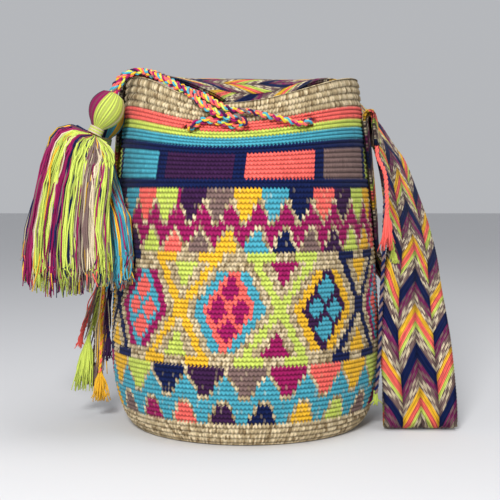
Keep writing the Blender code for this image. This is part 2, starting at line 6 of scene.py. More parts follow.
import bpy
import numpy as np
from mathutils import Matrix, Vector


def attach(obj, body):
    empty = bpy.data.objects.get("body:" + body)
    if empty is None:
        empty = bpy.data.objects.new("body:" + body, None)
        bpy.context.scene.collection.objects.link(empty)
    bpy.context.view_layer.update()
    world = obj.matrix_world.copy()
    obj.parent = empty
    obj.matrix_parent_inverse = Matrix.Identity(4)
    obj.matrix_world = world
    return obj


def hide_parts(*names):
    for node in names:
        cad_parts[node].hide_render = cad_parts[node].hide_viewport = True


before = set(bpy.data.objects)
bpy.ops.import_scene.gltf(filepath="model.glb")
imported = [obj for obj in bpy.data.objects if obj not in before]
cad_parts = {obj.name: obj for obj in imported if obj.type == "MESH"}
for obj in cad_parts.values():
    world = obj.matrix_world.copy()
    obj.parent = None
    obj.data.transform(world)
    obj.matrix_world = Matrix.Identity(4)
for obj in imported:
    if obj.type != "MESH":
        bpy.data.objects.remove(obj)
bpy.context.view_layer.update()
rng = np.random.default_rng(7)
random.seed(7)

# Sizes that the CAD part gives

BAG_HEIGHT = 0.322
FOOT_RADIUS = 0.106
BELLY_RADIUS = 0.1265
BELLY_HEIGHT = 0.070
RIM_RADIUS = 0.108
WALL = 0.0045
BASE_THICKNESS = 0.0050
FRONT_DIP = 0.028
DIP_FROM = BAG_HEIGHT - 0.0985
DIP_TURN = radians(8)
RIM_LEAN = 0.004
RIDGE_RELIEF = 0.0009
EYELET_HEIGHT = BAG_HEIGHT - 0.034
EYELET_WIDTH = 0.0165
EYELET_TALL = 0.0105
EYELET_ANGLES = (-23.0, -128.0, -147.0, -166.0, -190.0, -329.4)
CORD_DIAMETER = 0.0070
CORD_GAP = 0.0008
CROSSING = 0.0085
JOIN_GAP = 0.0003
STRAP_WIDTH = 0.066
STRAP_THICKNESS = 0.0048
STRAP_CLEARANCE = 0.0008
LEFT_END_ANGLE = -101.0
RIGHT_END_ANGLE = 90.0
LEFT_END_HEIGHT = BAG_HEIGHT - 0.107
RIGHT_END_HEIGHT = BAG_HEIGHT - 0.060
HEAD_LENGTH = 0.034
HEAD_WIDTH = 0.030
NECK_RADIUS = 0.0055
TIE_HEIGHT = 0.0070
FRINGE_DIAMETER = 0.0042

FLOOR_GAP = 0.0003  # yarn stays this far above the floor
STITCHES = 220  # in each row of the crochet
YARN = {name: np.array(colour) for name, colour in {
    "beige": (0.450, 0.345, 0.195),
    "straw": (0.690, 0.560, 0.350),
    "bark": (0.260, 0.180, 0.090),
    "coral": (0.930, 0.145, 0.120),
    "lime": (0.560, 0.660, 0.115),
    "teal": (0.070, 0.370, 0.480),
    "navy": (0.006, 0.013, 0.070),
    "plum": (0.044, 0.013, 0.058),
    "magenta": (0.330, 0.012, 0.105),
    "wine": (0.195, 0.022, 0.100),
    "taupe": (0.205, 0.130, 0.118),
    "gold": (0.860, 0.480, 0.030),
    "cream": (0.700, 0.590, 0.400),
}.items()}


def smooth_through(points, t):
    """The place at t, from 0 to 1, on a smooth curve through the points."""
    spans = len(points) - 1
    at = min(max(t, 0.0), 1.0) * spans
    i = min(int(at), spans - 1)
    u = at - i
    b, c = points[i], points[i + 1]
    a = points[i - 1] if i else tuple(2 * p - q for p, q in zip(b, c))
    d = points[i + 2] if i + 2 <= spans else tuple(2 * q - p for p, q in zip(b, c))
    return tuple(
        0.5 * (2 * q + (r - p) * u + (2 * p - 5 * q + 4 * r - s) * u**2 + (3 * q - p - 3 * r + s) * u**3)
        for p, q, r, s in zip(a, b, c, d)
    )


def smooth_line(points, steps):
    """Places on the smooth curve through the points, one more than the steps."""
    given = [tuple(p) for p in points]
    return np.array([smooth_through(given, i / steps) for i in range(steps + 1)])


def body_radius(height):
    """Radius of the wall, without its stitches."""
    if height < BELLY_HEIGHT:
        t = (BELLY_HEIGHT - height) / BELLY_HEIGHT
        return FOOT_RADIUS + (BELLY_RADIUS - FOOT_RADIUS) * (1 - t * t) ** (2 / 3)
    t = (height - BELLY_HEIGHT) / (BAG_HEIGHT - BELLY_HEIGHT)
    return BELLY_RADIUS - (BELLY_RADIUS - RIM_RADIUS) * t**1.45


def dip(angle, height):
    """How far the rim sinks at the front."""
    if height <= DIP_FROM:
        return 0.0
    up = (height - DIP_FROM) / (BAG_HEIGHT - DIP_FROM)
    turned = (angle + DIP_TURN + pi) % (2 * pi) - pi
    narrow = 0.95 + (0.41 * up**2 if turned < 0 else 0.0)
    swing = narrow * turned
    return FRONT_DIP * up**1.2 * cos(swing) ** 3 if abs(swing) < pi / 2 else 0.0


def on_body(angle, height, out=0.0):
    """A place on the wall, at an angle from the front and at a distance out of it."""
    radius = body_radius(height) + out
    lean = -RIM_LEAN * height / BAG_HEIGHT
    return Vector((lean + radius * sin(angle), -radius * cos(angle), height - dip(angle, height)))


# Materials

ROUGHNESS = 0.92
SPECULAR = 0.08
SHEEN = 0.05
BUMP_STRENGTH = 0.8
NOISE_LOW, NOISE_HIGH = 0.3, 0.7  # the noise values that give the darkest and the lightest yarn


def set_inputs(node, **values):
    """Give a node's inputs their values; an underline stands for a space."""
    for key, value in values.items():
        node.inputs[key.replace("_", " ")].default_value = value


def yarn_material(name, fleck, grain, bump_scale, bump_depth):
    """Yarn: the colours that the mesh carries, a little uneven, with fine fibre bumps; on some pieces these
    colours hold painted shade and light.
    """
    mat = bpy.data.materials.new(name)
    mat.use_nodes = True
    nodes, links = mat.node_tree.nodes, mat.node_tree.links
    shader = nodes["Principled BSDF"]
    place = nodes.new("ShaderNodeNewGeometry")

    def noise_of(scale, detail):
        noise = nodes.new("ShaderNodeTexNoise")
        set_inputs(noise, Scale=scale, Detail=detail)
        links.new(place.outputs["Position"], noise.inputs["Vector"])
        return noise.outputs["Fac"]

    tint = nodes.new("ShaderNodeAttribute")
    tint.attribute_name = "tint"
    ramp = nodes.new("ShaderNodeMapRange")
    set_inputs(ramp, From_Min=NOISE_LOW, From_Max=NOISE_HIGH, To_Min=1 - fleck, To_Max=1 + fleck)
    links.new(noise_of(grain, 3.0), ramp.inputs["Value"])
    shade = nodes.new("ShaderNodeVectorMath")
    shade.operation = "SCALE"
    links.new(tint.outputs["Color"], shade.inputs[0])
    links.new(ramp.outputs["Result"], shade.inputs["Scale"])
    links.new(shade.outputs["Vector"], shader.inputs["Base Color"])
    set_inputs(shader, Roughness=ROUGHNESS, Specular_IOR_Level=SPECULAR, Sheen_Weight=SHEEN)
    bump = nodes.new("ShaderNodeBump")
    set_inputs(bump, Strength=BUMP_STRENGTH, Distance=bump_depth)
    links.new(noise_of(bump_scale, 2.0), bump.inputs["Height"])
    links.new(bump.outputs["Normal"], shader.inputs["Normal"])
    return mat


# Yarns: unevenness, grain and fibre noise scales, depth of the fibres in metres
CROCHET = yarn_material("crochet_yarn", 0.16, 900.0, 1400.0, 0.0007)
WOVEN = yarn_material("woven_yarn", 0.18, 1100.0, 1600.0, 0.0005)
BRAID = yarn_material("braid_yarn", 0.12, 1200.0, 1600.0, 0.0004)
LOOSE = yarn_material("loose_yarn", 0.12, 1500.0, 2200.0, 0.0003)


def placed(name, data):
    """A new object in the scene."""
    obj = bpy.data.objects.new(name, data)
    bpy.context.scene.collection.objects.link(obj)
    return obj


def tinted_mesh(name, parts, mat, painted_light_and_shade=None):
    """A mesh whose faces carry their own yarn colour; the optional factors for each vertex paint shade into
    the vertices that lie in grooves and light onto crests.
    """
    verts, faces, tints = parts
    mesh = bpy.data.meshes.new(name)
    mesh.from_pydata(np.asarray(verts, dtype=float).tolist(), [], faces)
    sizes = np.array([len(f) for f in faces])
    colour = mesh.color_attributes.new("tint", "FLOAT_COLOR", "CORNER")
    rgba = np.ones((int(sizes.sum()), 4))
    rgba[:, :3] = np.repeat(np.asarray(tints, dtype=float), sizes, axis=0)
    # Painted shade and light, multiplied into the colour at each vertex
    if painted_light_and_shade is not None:
        rgba[:, :3] *= np.asarray(painted_light_and_shade)[np.concatenate([np.array(f) for f in faces])][:, None]
    colour.data.foreach_set("color", rgba.ravel())
    mesh.materials.append(mat)
    mesh.shade_smooth()
    obj = placed(name, mesh)
    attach(obj, "root")
    return obj


# Crochet pattern

BASE_TOP = 0.023
BASE_ROWS = 5
# Sections from the rim down: upper height, lower height and number of rows
SECTIONS = (
    ("rim", BAG_HEIGHT, 0.298, 4),
    ("coral", 0.298, 0.287, 3),
    ("lime", 0.287, 0.279, 2),
    ("teal", 0.279, 0.269, 3),
    ("navy", 0.269, 0.2605, 2),
    ("rectangles", 0.2605, 0.2325, 6),
    ("navy", 0.2325, 0.2235, 2),
    ("zigzag_top", 0.2235, 0.169, 12),
    ("motifs", 0.169, 0.073, 24),
    ("zigzag_low", 0.073, BASE_TOP, 12),
)
ZIGZAG_DOWN = 7  # rows of a zigzag whose triangles point down; in the rest they point up
# Triangle colours in order from the one at the front towards the right, round the bag
UPPER_TOP = "gold teal navy coral plum lime gold taupe teal navy plum teal coral lime plum taupe".split()
LOWER_TOP = "teal navy taupe plum lime gold coral teal navy taupe gold plum lime coral taupe gold".split()
UPPER_LOW = "taupe magenta coral gold lime navy plum magenta gold lime navy plum".split()
LOWER_LOW = "navy gold lime taupe magenta coral plum gold taupe magenta coral plum".split()
RECTANGLES = "coral taupe lime gold magenta teal coral lime teal plum".split()
# Stitches across each triangle, row by row, without and with its light edge
ZIGZAG_TOP = ((7, 7), (7, 7), (5.2, 7), (4.4, 6.0), (3.0, 4.4), (1.6, 3.0), (0, 1.8),
              (0, 1.8), (1.8, 3.6), (3.0, 4.8), (4.6, 6.2), (5.6, 7.0))
ZIGZAG_LOW = ((9, 10), (8.6, 10), (7, 8.6), (5.2, 6.8), (4.0, 5.4), (2.6, 4.0), (0, 2.6),
              (0, 2.6), (2.8, 4.6), (4.0, 5.6), (5.4, 7.0), (6.2, 7.6))


def zigzag(col, row, period, centre, table, base, upper, lower):
    """A zigzag of one colour between triangles that point down and triangles that point up."""
    down = row < ZIGZAG_DOWN
    at = (col - centre) / period - (0.0 if down else 0.5)
    index = floor(at + 0.5)
    x = abs(at - index) * period
    count = round(STITCHES / period)
    index = (index + count // 2) % count - count // 2
    inner, outer = table[row]
    if x < inner / 2:
        return (upper if down else lower)[index % len(upper)]
    return "fleck" if x < outer / 2 else base


# Outline, inside and blocks of each diamond, then the cross on its right and the triangles in that cross
MOTIFS = (("teal", "coral", "magenta", "lime", "magenta"), ("gold", "plum", "teal", "navy", "gold"),
          ("magenta", "teal", "coral", "gold", "lime"))
MOTIF_PERIOD = STITCHES / 9
MOTIF_CENTRE = -1.8
MOTIF_MIDDLE = 11.6  # its middle row
MOTIF_REACH = 8.4  # rows from there to its tips
OUTLINE = 2.3  # stitches
CROSS_MIDDLE = 11.5
BAR_FROM = 9.9  # rows from the middle to the bars that close a cross
CROSSING_ROWS = 1.2
ARM_SLOPE = 0.72  # stitches that an arm moves out per row
ARM_HALF = 1.05
# Blocks in a diamond: place and half size in stitches and rows
BLOCKS = ((-0.2, -4.2, 2.6, 3.0), (-2.7, 0.0, 2.4, 2.9), (2.8, 0.3, 2.4, 2.9), (0.2, 4.4, 2.6, 3.0))


def motif(col, row):
    """Diamonds, each with a cross on its right, on the light ground."""
    at = (col - MOTIF_CENTRE) / MOTIF_PERIOD
    index = floor(at + 0.5)
    x = (at - index) * MOTIF_PERIOD
    outline, inside, block, _, _ = MOTIFS[index % len(MOTIFS)]
    y = row - MOTIF_MIDDLE
    if abs(y) <= MOTIF_REACH:
        half = 8.8 - 0.66 * abs(y)
        if abs(x) < half:
            if abs(x) > half - OUTLINE:
                return outline
            for bx, by, wide, tall in BLOCKS:
                if abs(x - bx) / wide + abs(y - by) / tall < 1.0:
                    return block
            return inside
    index = floor(at)
    _, _, _, cross, seed = MOTIFS[index % len(MOTIFS)]
    u = abs((at - index - 0.5) * MOTIF_PERIOD)
    v = abs(row - CROSS_MIDDLE)
    if v > BAR_FROM:
        return cross if 2.6 < u < 9.0 else "fleck"
    if v < CROSSING_ROWS:
        return cross if u < 1.7 else "fleck"
    if abs(u - ARM_SLOPE * v) < ARM_HALF:
        return cross
    if 5.4 < v < 9.6 and u < 0.3 + 0.62 * (v - 5.0):
        return seed
    return "fleck"


RECTANGLE_PERIOD = STITCHES / len(RECTANGLES)
RECTANGLE_START = 5.3
RECTANGLE_GAP = 3.0


def stitch_yarn(section, col, row):
    """Yarn of one stitch, from its section, its column from the front and its row in the section."""
    if section == "rim":
        return "fleck"
    if section == "rectangles":
        at = (col + RECTANGLE_START) / RECTANGLE_PERIOD
        index = floor(at)
        in_gap = (at - index) * RECTANGLE_PERIOD < RECTANGLE_GAP
        return "navy" if in_gap else RECTANGLES[index % len(RECTANGLES)]
    if section == "zigzag_top":
        return zigzag(col, row, STITCHES / 31, -0.8, ZIGZAG_TOP, "magenta", UPPER_TOP, LOWER_TOP)
    if section == "motifs":
        return motif(col, row)
    if section == "zigzag_low":
        return zigzag(col, row, 10.0, 4.6, ZIGZAG_LOW, "teal", UPPER_LOW, LOWER_LOW)
    return section


def row_levels():
    """Every stitch row: section name, its own row number, upper height and lower height."""
    rows = []
    for name, high, low, count in SECTIONS:
        for i in range(count):
            step = (high - low) / count
            rows.append((name, i, high - step * i, high - step * (i + 1)))
    fine = [BASE_TOP * (1 - i / 200) for i in range(201)]
    lengths = [0.0]
    for a, b in zip(fine, fine[1:]):
        lengths.append(lengths[-1] + hypot(a - b, body_radius(a) - body_radius(b)))
    ends = [lengths[-1] * i / BASE_ROWS for i in range(BASE_ROWS + 1)]
    cuts = [float(np.interp(end, lengths, fine)) for end in ends]
    rows += [("base", i, a, b) for i, (a, b) in enumerate(zip(cuts, cuts[1:]))]
    return rows


OPEN_SHARE = 0.8  # of an eyelet's area, left out of the stitches


def near_eyelet(angle, height):
    """Whether a stitch at this place would lie in an eyelet."""
    for degrees in EYELET_ANGLES:
        off = (angle - radians(degrees) + pi) % (2 * pi) - pi
        across = off * body_radius(EYELET_HEIGHT)
        rise = height - EYELET_HEIGHT
        if (across / (EYELET_WIDTH / 2)) ** 2 + (rise / (EYELET_TALL / 2)) ** 2 < OPEN_SHARE:
            return True
    return False


STRAW_BELOW, BARK_ABOVE = 0.36, 0.86  # draws that give the lighter and the darker yarn


def fleck_tints(count):
    """Marled yarn: beige with lighter and darker stretches."""
    pick = rng.random(count)
    tints = np.tile(YARN["beige"], (count, 1))
    tints[pick < STRAW_BELOW] = YARN["straw"]
    tints[pick > BARK_ABOVE] = YARN["bark"]
    return tints * rng.uniform(0.88, 1.12, (count, 1))


def signed(col):
    """Stitch number counted from the front, with the join at the back."""
    return col - STITCHES if col > STITCHES / 2 else col


MARLED = ("fleck", "base")
COLUMNS = 2 * STITCHES  # of faces
SUB = 3  # rows of faces in each row of stitches
SLANT = 0.16  # stitches that the pattern leans per row
MIDDLE_ROW = 34.0  # where the leaning columns cross the angles that they are named after
CARRIED = 0.13  # share of stitches in the zigzags where the light yarn shows through
CREST = (0.0, 0.92, 1.0)  # how far a stitch stands out, from its top down
# Painted shade in the groove between rows and painted light on a stitch's crest, from its top down
PAINTED_CREST_SHADE = (0.38, 1.06, 1.16)
PAINTED_GAP_SHADE = 0.72  # painted shade in the gap between two stitches of a row
PAINTED_BASE_LIGHT = 1.12  # painted light: the base is coloured lighter, as it gets less light
RELIEF, TALL_RELIEF = 0.0012, 0.0014  # depth of the stitches; the rim and the base have tall ones
GAP_SHARE, TALL_GAP_SHARE = 0.45, 0.30  # how far the gap beside a stitch stands out, as a share of it
WOBBLE, UNEVEN = 0.00012, 0.060  # spread of the stitches' depth and of their brightness
STITCH_DROP = 0.30  # part of a row by which a stitch hangs below the gaps beside it


def crocheted_outside():
    """Every stitch of the outside as a small bump, two columns of faces wide and three high."""
    rows = row_levels()
    heights = [high - (high - low) * s / SUB for _, _, high, low in rows for s in range(SUB)] + [0.0]
    wobble = rng.normal(0.0, WOBBLE, (len(heights), COLUMNS))
    verts = np.zeros((len(heights), COLUMNS, 3))
    painted_light_and_shade = np.ones((len(heights), COLUMNS))
    for k, height in enumerate(heights):
        phase = k % SUB
        lean = SLANT * (MIDDLE_ROW - k / SUB)
        section, _, high, low = rows[min(k // SUB, len(rows) - 1)]
        tall = section in ("rim", "base")
        depth = TALL_RELIEF if tall else RELIEF
        fade = min(1.0, height / 0.012)
        base_painted_light = PAINTED_BASE_LIGHT if height < BASE_TOP else 1.0
        for i in range(COLUMNS):
            angle = 2 * pi * (i / 2 + lean) / STITCHES
            side = 1.0 if i % 2 else (TALL_GAP_SHARE if tall else GAP_SHARE)
            out = depth * (CREST[phase] * side * 1.5 - 0.6) + wobble[k, i]
            # Painted shade in the grooves and gaps, painted light on the crests and on the base, for each
            # vertex
            painted_light_and_shade[k, i] = PAINTED_CREST_SHADE[phase] * (1.0 if i % 2 else PAINTED_GAP_SHADE) * base_painted_light
            drop = (high - low) * STITCH_DROP * min(1.0, height / 0.03) if k and i % 2 else 0.0
            verts[k, i] = on_body(angle, height - drop, out * fade)
    verts[:, :, 2] = np.maximum(verts[:, :, 2], FLOOR_GAP)
    faces, tints = [], []
    marl = fleck_tints((len(rows) + 1) * COLUMNS).reshape(len(rows) + 1, COLUMNS, 3)
    shade = 1.0 + rng.normal(0.0, UNEVEN, (len(rows) + 1, STITCHES))
    carried = rng.random((len(rows) + 1, COLUMNS))
    names = [[stitch_yarn(name, signed(c + 0.5), i) for c in range(STITCHES)] for name, i, _, _ in rows]
    for k in range(len(heights) - 1):
        r, s = divmod(k, SUB)
        lean = SLANT * (MIDDLE_ROW - k / SUB)
        middle = (heights[k] + heights[k + 1]) / 2
        for i in range(COLUMNS):
            j = (i + 1) % COLUMNS
            if near_eyelet(2 * pi * ((i + 0.5) / 2 + lean) / STITCHES, middle):
                continue
            c = i // 2
            above = s == 0 and i % 2 == 1 and r > 0  # the stitch above hangs down over this face
            use = r - 1 if above else r
            name = names[use][c]
            tint = marl[use, i] if name in MARLED else YARN[name]
            if rows[use][0].startswith("zigzag") and carried[use, i] < CARRIED and i % 2 == 0:
                tint = 0.72 * tint + 0.28 * marl[use, i]
            faces.append((k * COLUMNS + i, (k + 1) * COLUMNS + i, (k + 1) * COLUMNS + j, k * COLUMNS + j))
            tints.append(tint * shade[use, c])
    parts = verts.reshape(-1, 3), faces, tints
    return tinted_mesh("bag_outside", parts, CROCHET, painted_light_and_shade.ravel())


# Rise above the rim and distance out of the wall, for each ring of the rim's edge
RIM_RINGS = ((0.0, 0.0002), (0.0006, -WALL * 0.3), (0.0003, -WALL * 0.75))
INSIDE_RINGS = 150
INSIDE_RELIEF = 0.0007
# Painted shade and light on the rings of faces inside, by turns
PAINTED_INSIDE_SHADE = (1.0, 1.08, 0.62)


def crocheted_inside():
    """The rim's edge, the wall's rows from within, both faces of the base and the eyelets' edges."""
    deep = BAG_HEIGHT - BASE_THICKNESS
    edge = len(RIM_RINGS)
    rings = [(BAG_HEIGHT + rise, out) for rise, out in RIM_RINGS]
    rings += [(BAG_HEIGHT - deep * i / INSIDE_RINGS, -WALL) for i in range(1, INSIDE_RINGS + 1)]
    verts = []
    for k, (height, out) in enumerate(rings):
        for i in range(COLUMNS):
            bump = INSIDE_RELIEF * (1 if (i + k) % 2 else -0.4) * (0.4 if k < edge else -0.5)
            verts.append(on_body(2 * pi * i / COLUMNS, height, out + bump))
    rows = row_levels()
    faces, tints = [], []
    for k in range(len(rings) - 1):
        middle = (rings[k][0] + rings[k + 1][0]) / 2
        section, row = next(((n, i) for n, i, high, low in rows if low <= middle <= high), rows[0][:2])
        flecks = fleck_tints(COLUMNS)
        for i in range(COLUMNS):
            j = (i + 1) % COLUMNS
            if k >= edge and near_eyelet(2 * pi * (i + 0.5) / COLUMNS, middle):
                continue
            yarn = stitch_yarn(section, signed(i // 2 + 0.5), row)
            tint = flecks[i]
            if k >= edge and yarn not in MARLED:
                tint = YARN[yarn] * 0.75 + 0.25 * tint
            faces.append((k * COLUMNS + j, (k + 1) * COLUMNS + j, (k + 1) * COLUMNS + i, k * COLUMNS + i))
            # Painted shade: darker in every third ring of faces and in every other column, standing for the
            # grooves between stitches, and painted light on the ring after it
            tints.append(tint * PAINTED_INSIDE_SHADE[k % 3] * (1.0 if i % 2 else 0.80))
    last = len(rings) - 1
    radius = body_radius(BASE_THICKNESS) - WALL
    parts = verts, faces, tints
    disc(parts, last * COLUMNS, radius, BASE_THICKNESS, False)
    start = len(verts)
    verts += [round_point(i, FOOT_RADIUS, FLOOR_GAP) for i in range(COLUMNS)]
    disc(parts, start, FOOT_RADIUS, FLOOR_GAP, True)
    eyelet_sleeves(parts)
    return tinted_mesh("bag_inside", parts, CROCHET)


ROUNDS = 22  # in each face of the base
ROUND_RELIEF = 0.0003


def round_point(i, radius, height):
    """One of the points of a level round."""
    angle = 2 * pi * i / COLUMNS
    return Vector((radius * sin(angle), -radius * cos(angle), height))


def disc(parts, start, radius, height, under):
    """Flat rounds of stitches from a ring of points to the middle."""
    verts, faces, tints = parts
    before = start
    for r in range(1, ROUNDS):
        here = len(verts)
        reach = radius * (1 - r / ROUNDS)
        for i in range(COLUMNS):
            verts.append(round_point(i, reach, height + (ROUND_RELIEF if (r + i) % 2 else 0.0)))
        flecks = fleck_tints(COLUMNS)
        for i in range(COLUMNS):
            j = (i + 1) % COLUMNS
            quad = (before + i, before + j, here + j, here + i)
            faces.append(quad if under else quad[::-1])
            tints.append(flecks[i])
        before = here
    centre = len(verts)
    verts.append(Vector((0.0, 0.0, height)))
    for i in range(COLUMNS):
        j = (i + 1) % COLUMNS
        faces.append((before + i, before + j, centre) if under else (before + j, before + i, centre))
        tints.append(YARN["beige"])


def eyelet_sleeves(parts):
    """The yarn edge inside each eyelet."""
    verts, faces, tints = parts
    sides = 20
    for degrees in EYELET_ANGLES:
        angle = radians(degrees)
        middle = on_body(angle, EYELET_HEIGHT, -WALL / 2)
        outward = Vector((sin(angle), -cos(angle), 0.0))
        across = Vector((0, 0, 1)).cross(outward)
        start = len(verts)
        for depth in (-WALL / 2 - 0.0004, WALL / 2 + 0.0004):
            for k in range(sides):
                a = 2 * pi * k / sides
                verts.append(middle + outward * depth + across * (EYELET_WIDTH / 2 * cos(a))
                             + Vector((0, 0, EYELET_TALL / 2 * sin(a))))
        for k in range(sides):
            j = (k + 1) % sides
            faces.append((start + k, start + sides + k, start + sides + j, start + j))
            # Coral yarn darkened as painted shade inside the eyelet, more on every other face
            tints.append(YARN["coral"] * (0.8 if k % 2 else 0.6))


# Strands, ropes and braids

def unit(rows):
    """The rows of an array, each made one long."""
    return rows / np.linalg.norm(rows, axis=1)[:, None]


def path_frames(places):
    """Side and up at each place, carried along without twisting."""
    ways = unit(np.gradient(places, axis=0))
    side = np.cross(ways[0], (0.0, 0.0, 1.0))
    if np.linalg.norm(side) < 0.2:
        side = np.cross(ways[0], (0.0, 1.0, 0.0))
    sides, ups = [], []
    for way in ways:
        side = side - way * np.dot(side, way)
        side = side / np.linalg.norm(side)
        sides.append(side)
        ups.append(np.cross(way, side))
    return np.array(sides), np.array(ups)


def even_route(points, steps, spacing, least):
    """Evenly spaced places on a smooth route, their sides, ups and distances along it, and its length."""
    smooth = smooth_line(points, steps)
    gaps = np.linalg.norm(np.diff(smooth, axis=0), axis=1)
    at = np.concatenate([[0.0], np.cumsum(gaps)])
    length = float(at[-1])
    s = np.linspace(0.0, length, max(least, int(length / spacing)))
    places = np.stack([np.interp(s, at, smooth[:, k]) for k in range(3)], axis=1)
    return (places, *path_frames(places), s, length)


def wound(sides, ups, angles, radius):
    """Offsets from a path that turn round it by the given angles."""
    return (sides * np.cos(angles)[:, None] + ups * np.sin(angles)[:, None]) * radius


def add_tube(parts, places, radius, tint, ring=6, taper=False, vary=None):
    """A plain tube along places, closed at its ends, added to the points, faces and tints."""
    verts, faces, tints = parts
    sides, ups = path_frames(places)
    start, n = len(verts), len(places)
    for k in range(n):
        r = radius * (1.0 - 0.6 * max(0.0, (k - n + 3) / 3)) if taper else radius
        for i in range(ring):
            a = 2 * pi * i / ring
            verts.append(places[k] + (sides[k] * cos(a) + ups[k] * sin(a)) * r)
    for k in range(n - 1):
        here = start + k * ring
        for i in range(ring):
            j = (i + 1) % ring
            faces.append((here + i, here + j, here + ring + j, here + ring + i))
            tints.append(tint if vary is None else vary(k / (n - 1)))
    faces.append(tuple(start + i for i in reversed(range(ring))))
    faces.append(tuple(start + (n - 1) * ring + i for i in range(ring)))
    tints += [tint, tint]


PLAIT, TWIST = 0.0190, 0.0130  # lengths of one turn of the plait, and of the two yarns in a strand
PLAIT_SWING, PLAIT_RISE = 0.00195, 0.00105
YARN_OFFSET, YARN_RADIUS = 0.00072, 0.00105
STRETCH, STRETCH_MORE = 0.0145, 0.003  # how long a yarn keeps a colour; more on each next strand
# Three colours by turns in each of the plait's six yarns, two yarns to a strand
BRAID_YARNS = (("gold", "coral", "gold"), ("coral", "gold", "magenta"), ("teal", "lime", "teal"),
               ("taupe", "teal", "lime"), ("magenta", "coral", "plum"), ("plum", "magenta", "coral"))


def braid(name, points):
    """A three-strand plait; each strand is two yarns twisted together, and the yarns change along it."""
    places, sides, ups, s, length = even_route(points, 400, 0.0011, 24)
    parts = [], [], []
    for strand in range(3):
        turn = 2 * pi * (s / PLAIT + strand / 3)
        over, up = PLAIT_SWING * np.sin(turn), PLAIT_RISE * np.sin(2 * turn)
        line = places + sides * over[:, None] + ups * up[:, None]
        for ply in range(2):
            spin = 2 * pi * s / TWIST + pi * ply
            yarn = line + wound(sides, ups, spin, YARN_OFFSET)
            three = [YARN[n] for n in BRAID_YARNS[strand * 2 + ply]]
            step = STRETCH + STRETCH_MORE * strand
            add_tube(parts, yarn, YARN_RADIUS, three[0],
                     vary=lambda t, c=three, w=step: c[int(t * length / w) % 3])
    return tinted_mesh(name, parts, BRAID), [tuple(p) for p in places], length


ROPE_PITCH = 0.009
PLY_OFFSET, PLY_RADIUS = 0.48, 0.56  # shares of the rope's radius


def rope(name, points, radius, plies):
    """Two plies twisted round each other."""
    places, sides, ups, s, length = even_route(points, 200, 0.0018, 16)
    parts = [], [], []
    for ply, name_of_ply in enumerate(plies):
        angle = 2 * pi * s / ROPE_PITCH + pi * ply
        line = places + wound(sides, ups, angle, radius * PLY_OFFSET)
        add_tube(parts, line, radius * PLY_RADIUS, YARN[name_of_ply])
    return tinted_mesh(name, parts, BRAID), [tuple(p) for p in places], length


# Drawstring

def held_route():
    """The cord's way in and out through the eyelets, round the back of the bag."""
    outside = CORD_DIAMETER / 2 + CORD_GAP + RIDGE_RELIEF
    inside = -WALL - CORD_DIAMETER / 2 - CORD_GAP
    half = CROSSING / body_radius(EYELET_HEIGHT)
    angles = [radians(a) for a in EYELET_ANGLES]
    turn_in = ((0.0, 0.1), (0.08, 0.5), (0.42, 0.85), (1.0, 1.0))
    pass_through = ((0.0, 0.0), (0.5, 0.69), (1.0, 1.0))
    points = []
    for k, (start, end) in enumerate(zip(angles, angles[1:])):
        swing = (inside if k % 2 == 0 else outside) + WALL / 2
        leave = turn_in if k == 0 else pass_through
        arrive = turn_in if k == len(angles) - 2 else pass_through[1:]
        for along, deep in leave:
            points.append(on_body(start - half * along, EYELET_HEIGHT, -WALL / 2 + swing * deep))
        first, last = start - half * 1.9, end + half * 1.9
        between = max(1, round((first - last) * body_radius(EYELET_HEIGHT) / (2.6 * CORD_DIAMETER)))
        for i in range(between + 1):
            points.append(on_body(first + (last - first) * i / between, EYELET_HEIGHT, -WALL / 2 + swing))
        for along, deep in reversed(arrive):
            points.append(on_body(end + half * along, EYELET_HEIGHT, -WALL / 2 + swing * deep))
    return points


# Free ends: degrees round the bag, height from the rim, distance out of the wall
LEFT_TAIL = (
    (-22.9, -0.0339, 0.0018), (-21.6, -0.0320, 0.0044), (-19.8, -0.0288, 0.0052),
    (-18.0, -0.0255, 0.0053), (-15.0, -0.0230, 0.0053), (-11.4, -0.0234, 0.0053),
    (-7.5, -0.0260, 0.0053), (-3.9, -0.0290, 0.0053), (-0.9, -0.0299, 0.0062),
    (0.9, -0.0269, 0.0095), (-0.9, -0.0219, 0.0125), (-3.9, -0.0198, 0.0132),
    (-6.9, -0.0170, 0.0132), (-10.5, -0.0131, 0.0125), (-14.1, -0.0074, 0.0110),
    (-17.7, -0.0022, 0.0090), (-21.5, 0.0025, 0.0050), (-25.5, 0.0050, 0.0005),
    (-30.0, 0.0050, -0.0018), (-36.0, 0.0048, -0.0020), (-43.0, 0.0048, -0.0020),
    (-50.0, 0.0048, -0.0015), (-56.0, 0.0050, -0.0005), (-58.8, 0.0048, 0.0040),
    (-60.2, 0.0015, 0.0100), (-60.7, -0.0055, 0.0160), (-60.9, -0.0142, 0.0201),
)
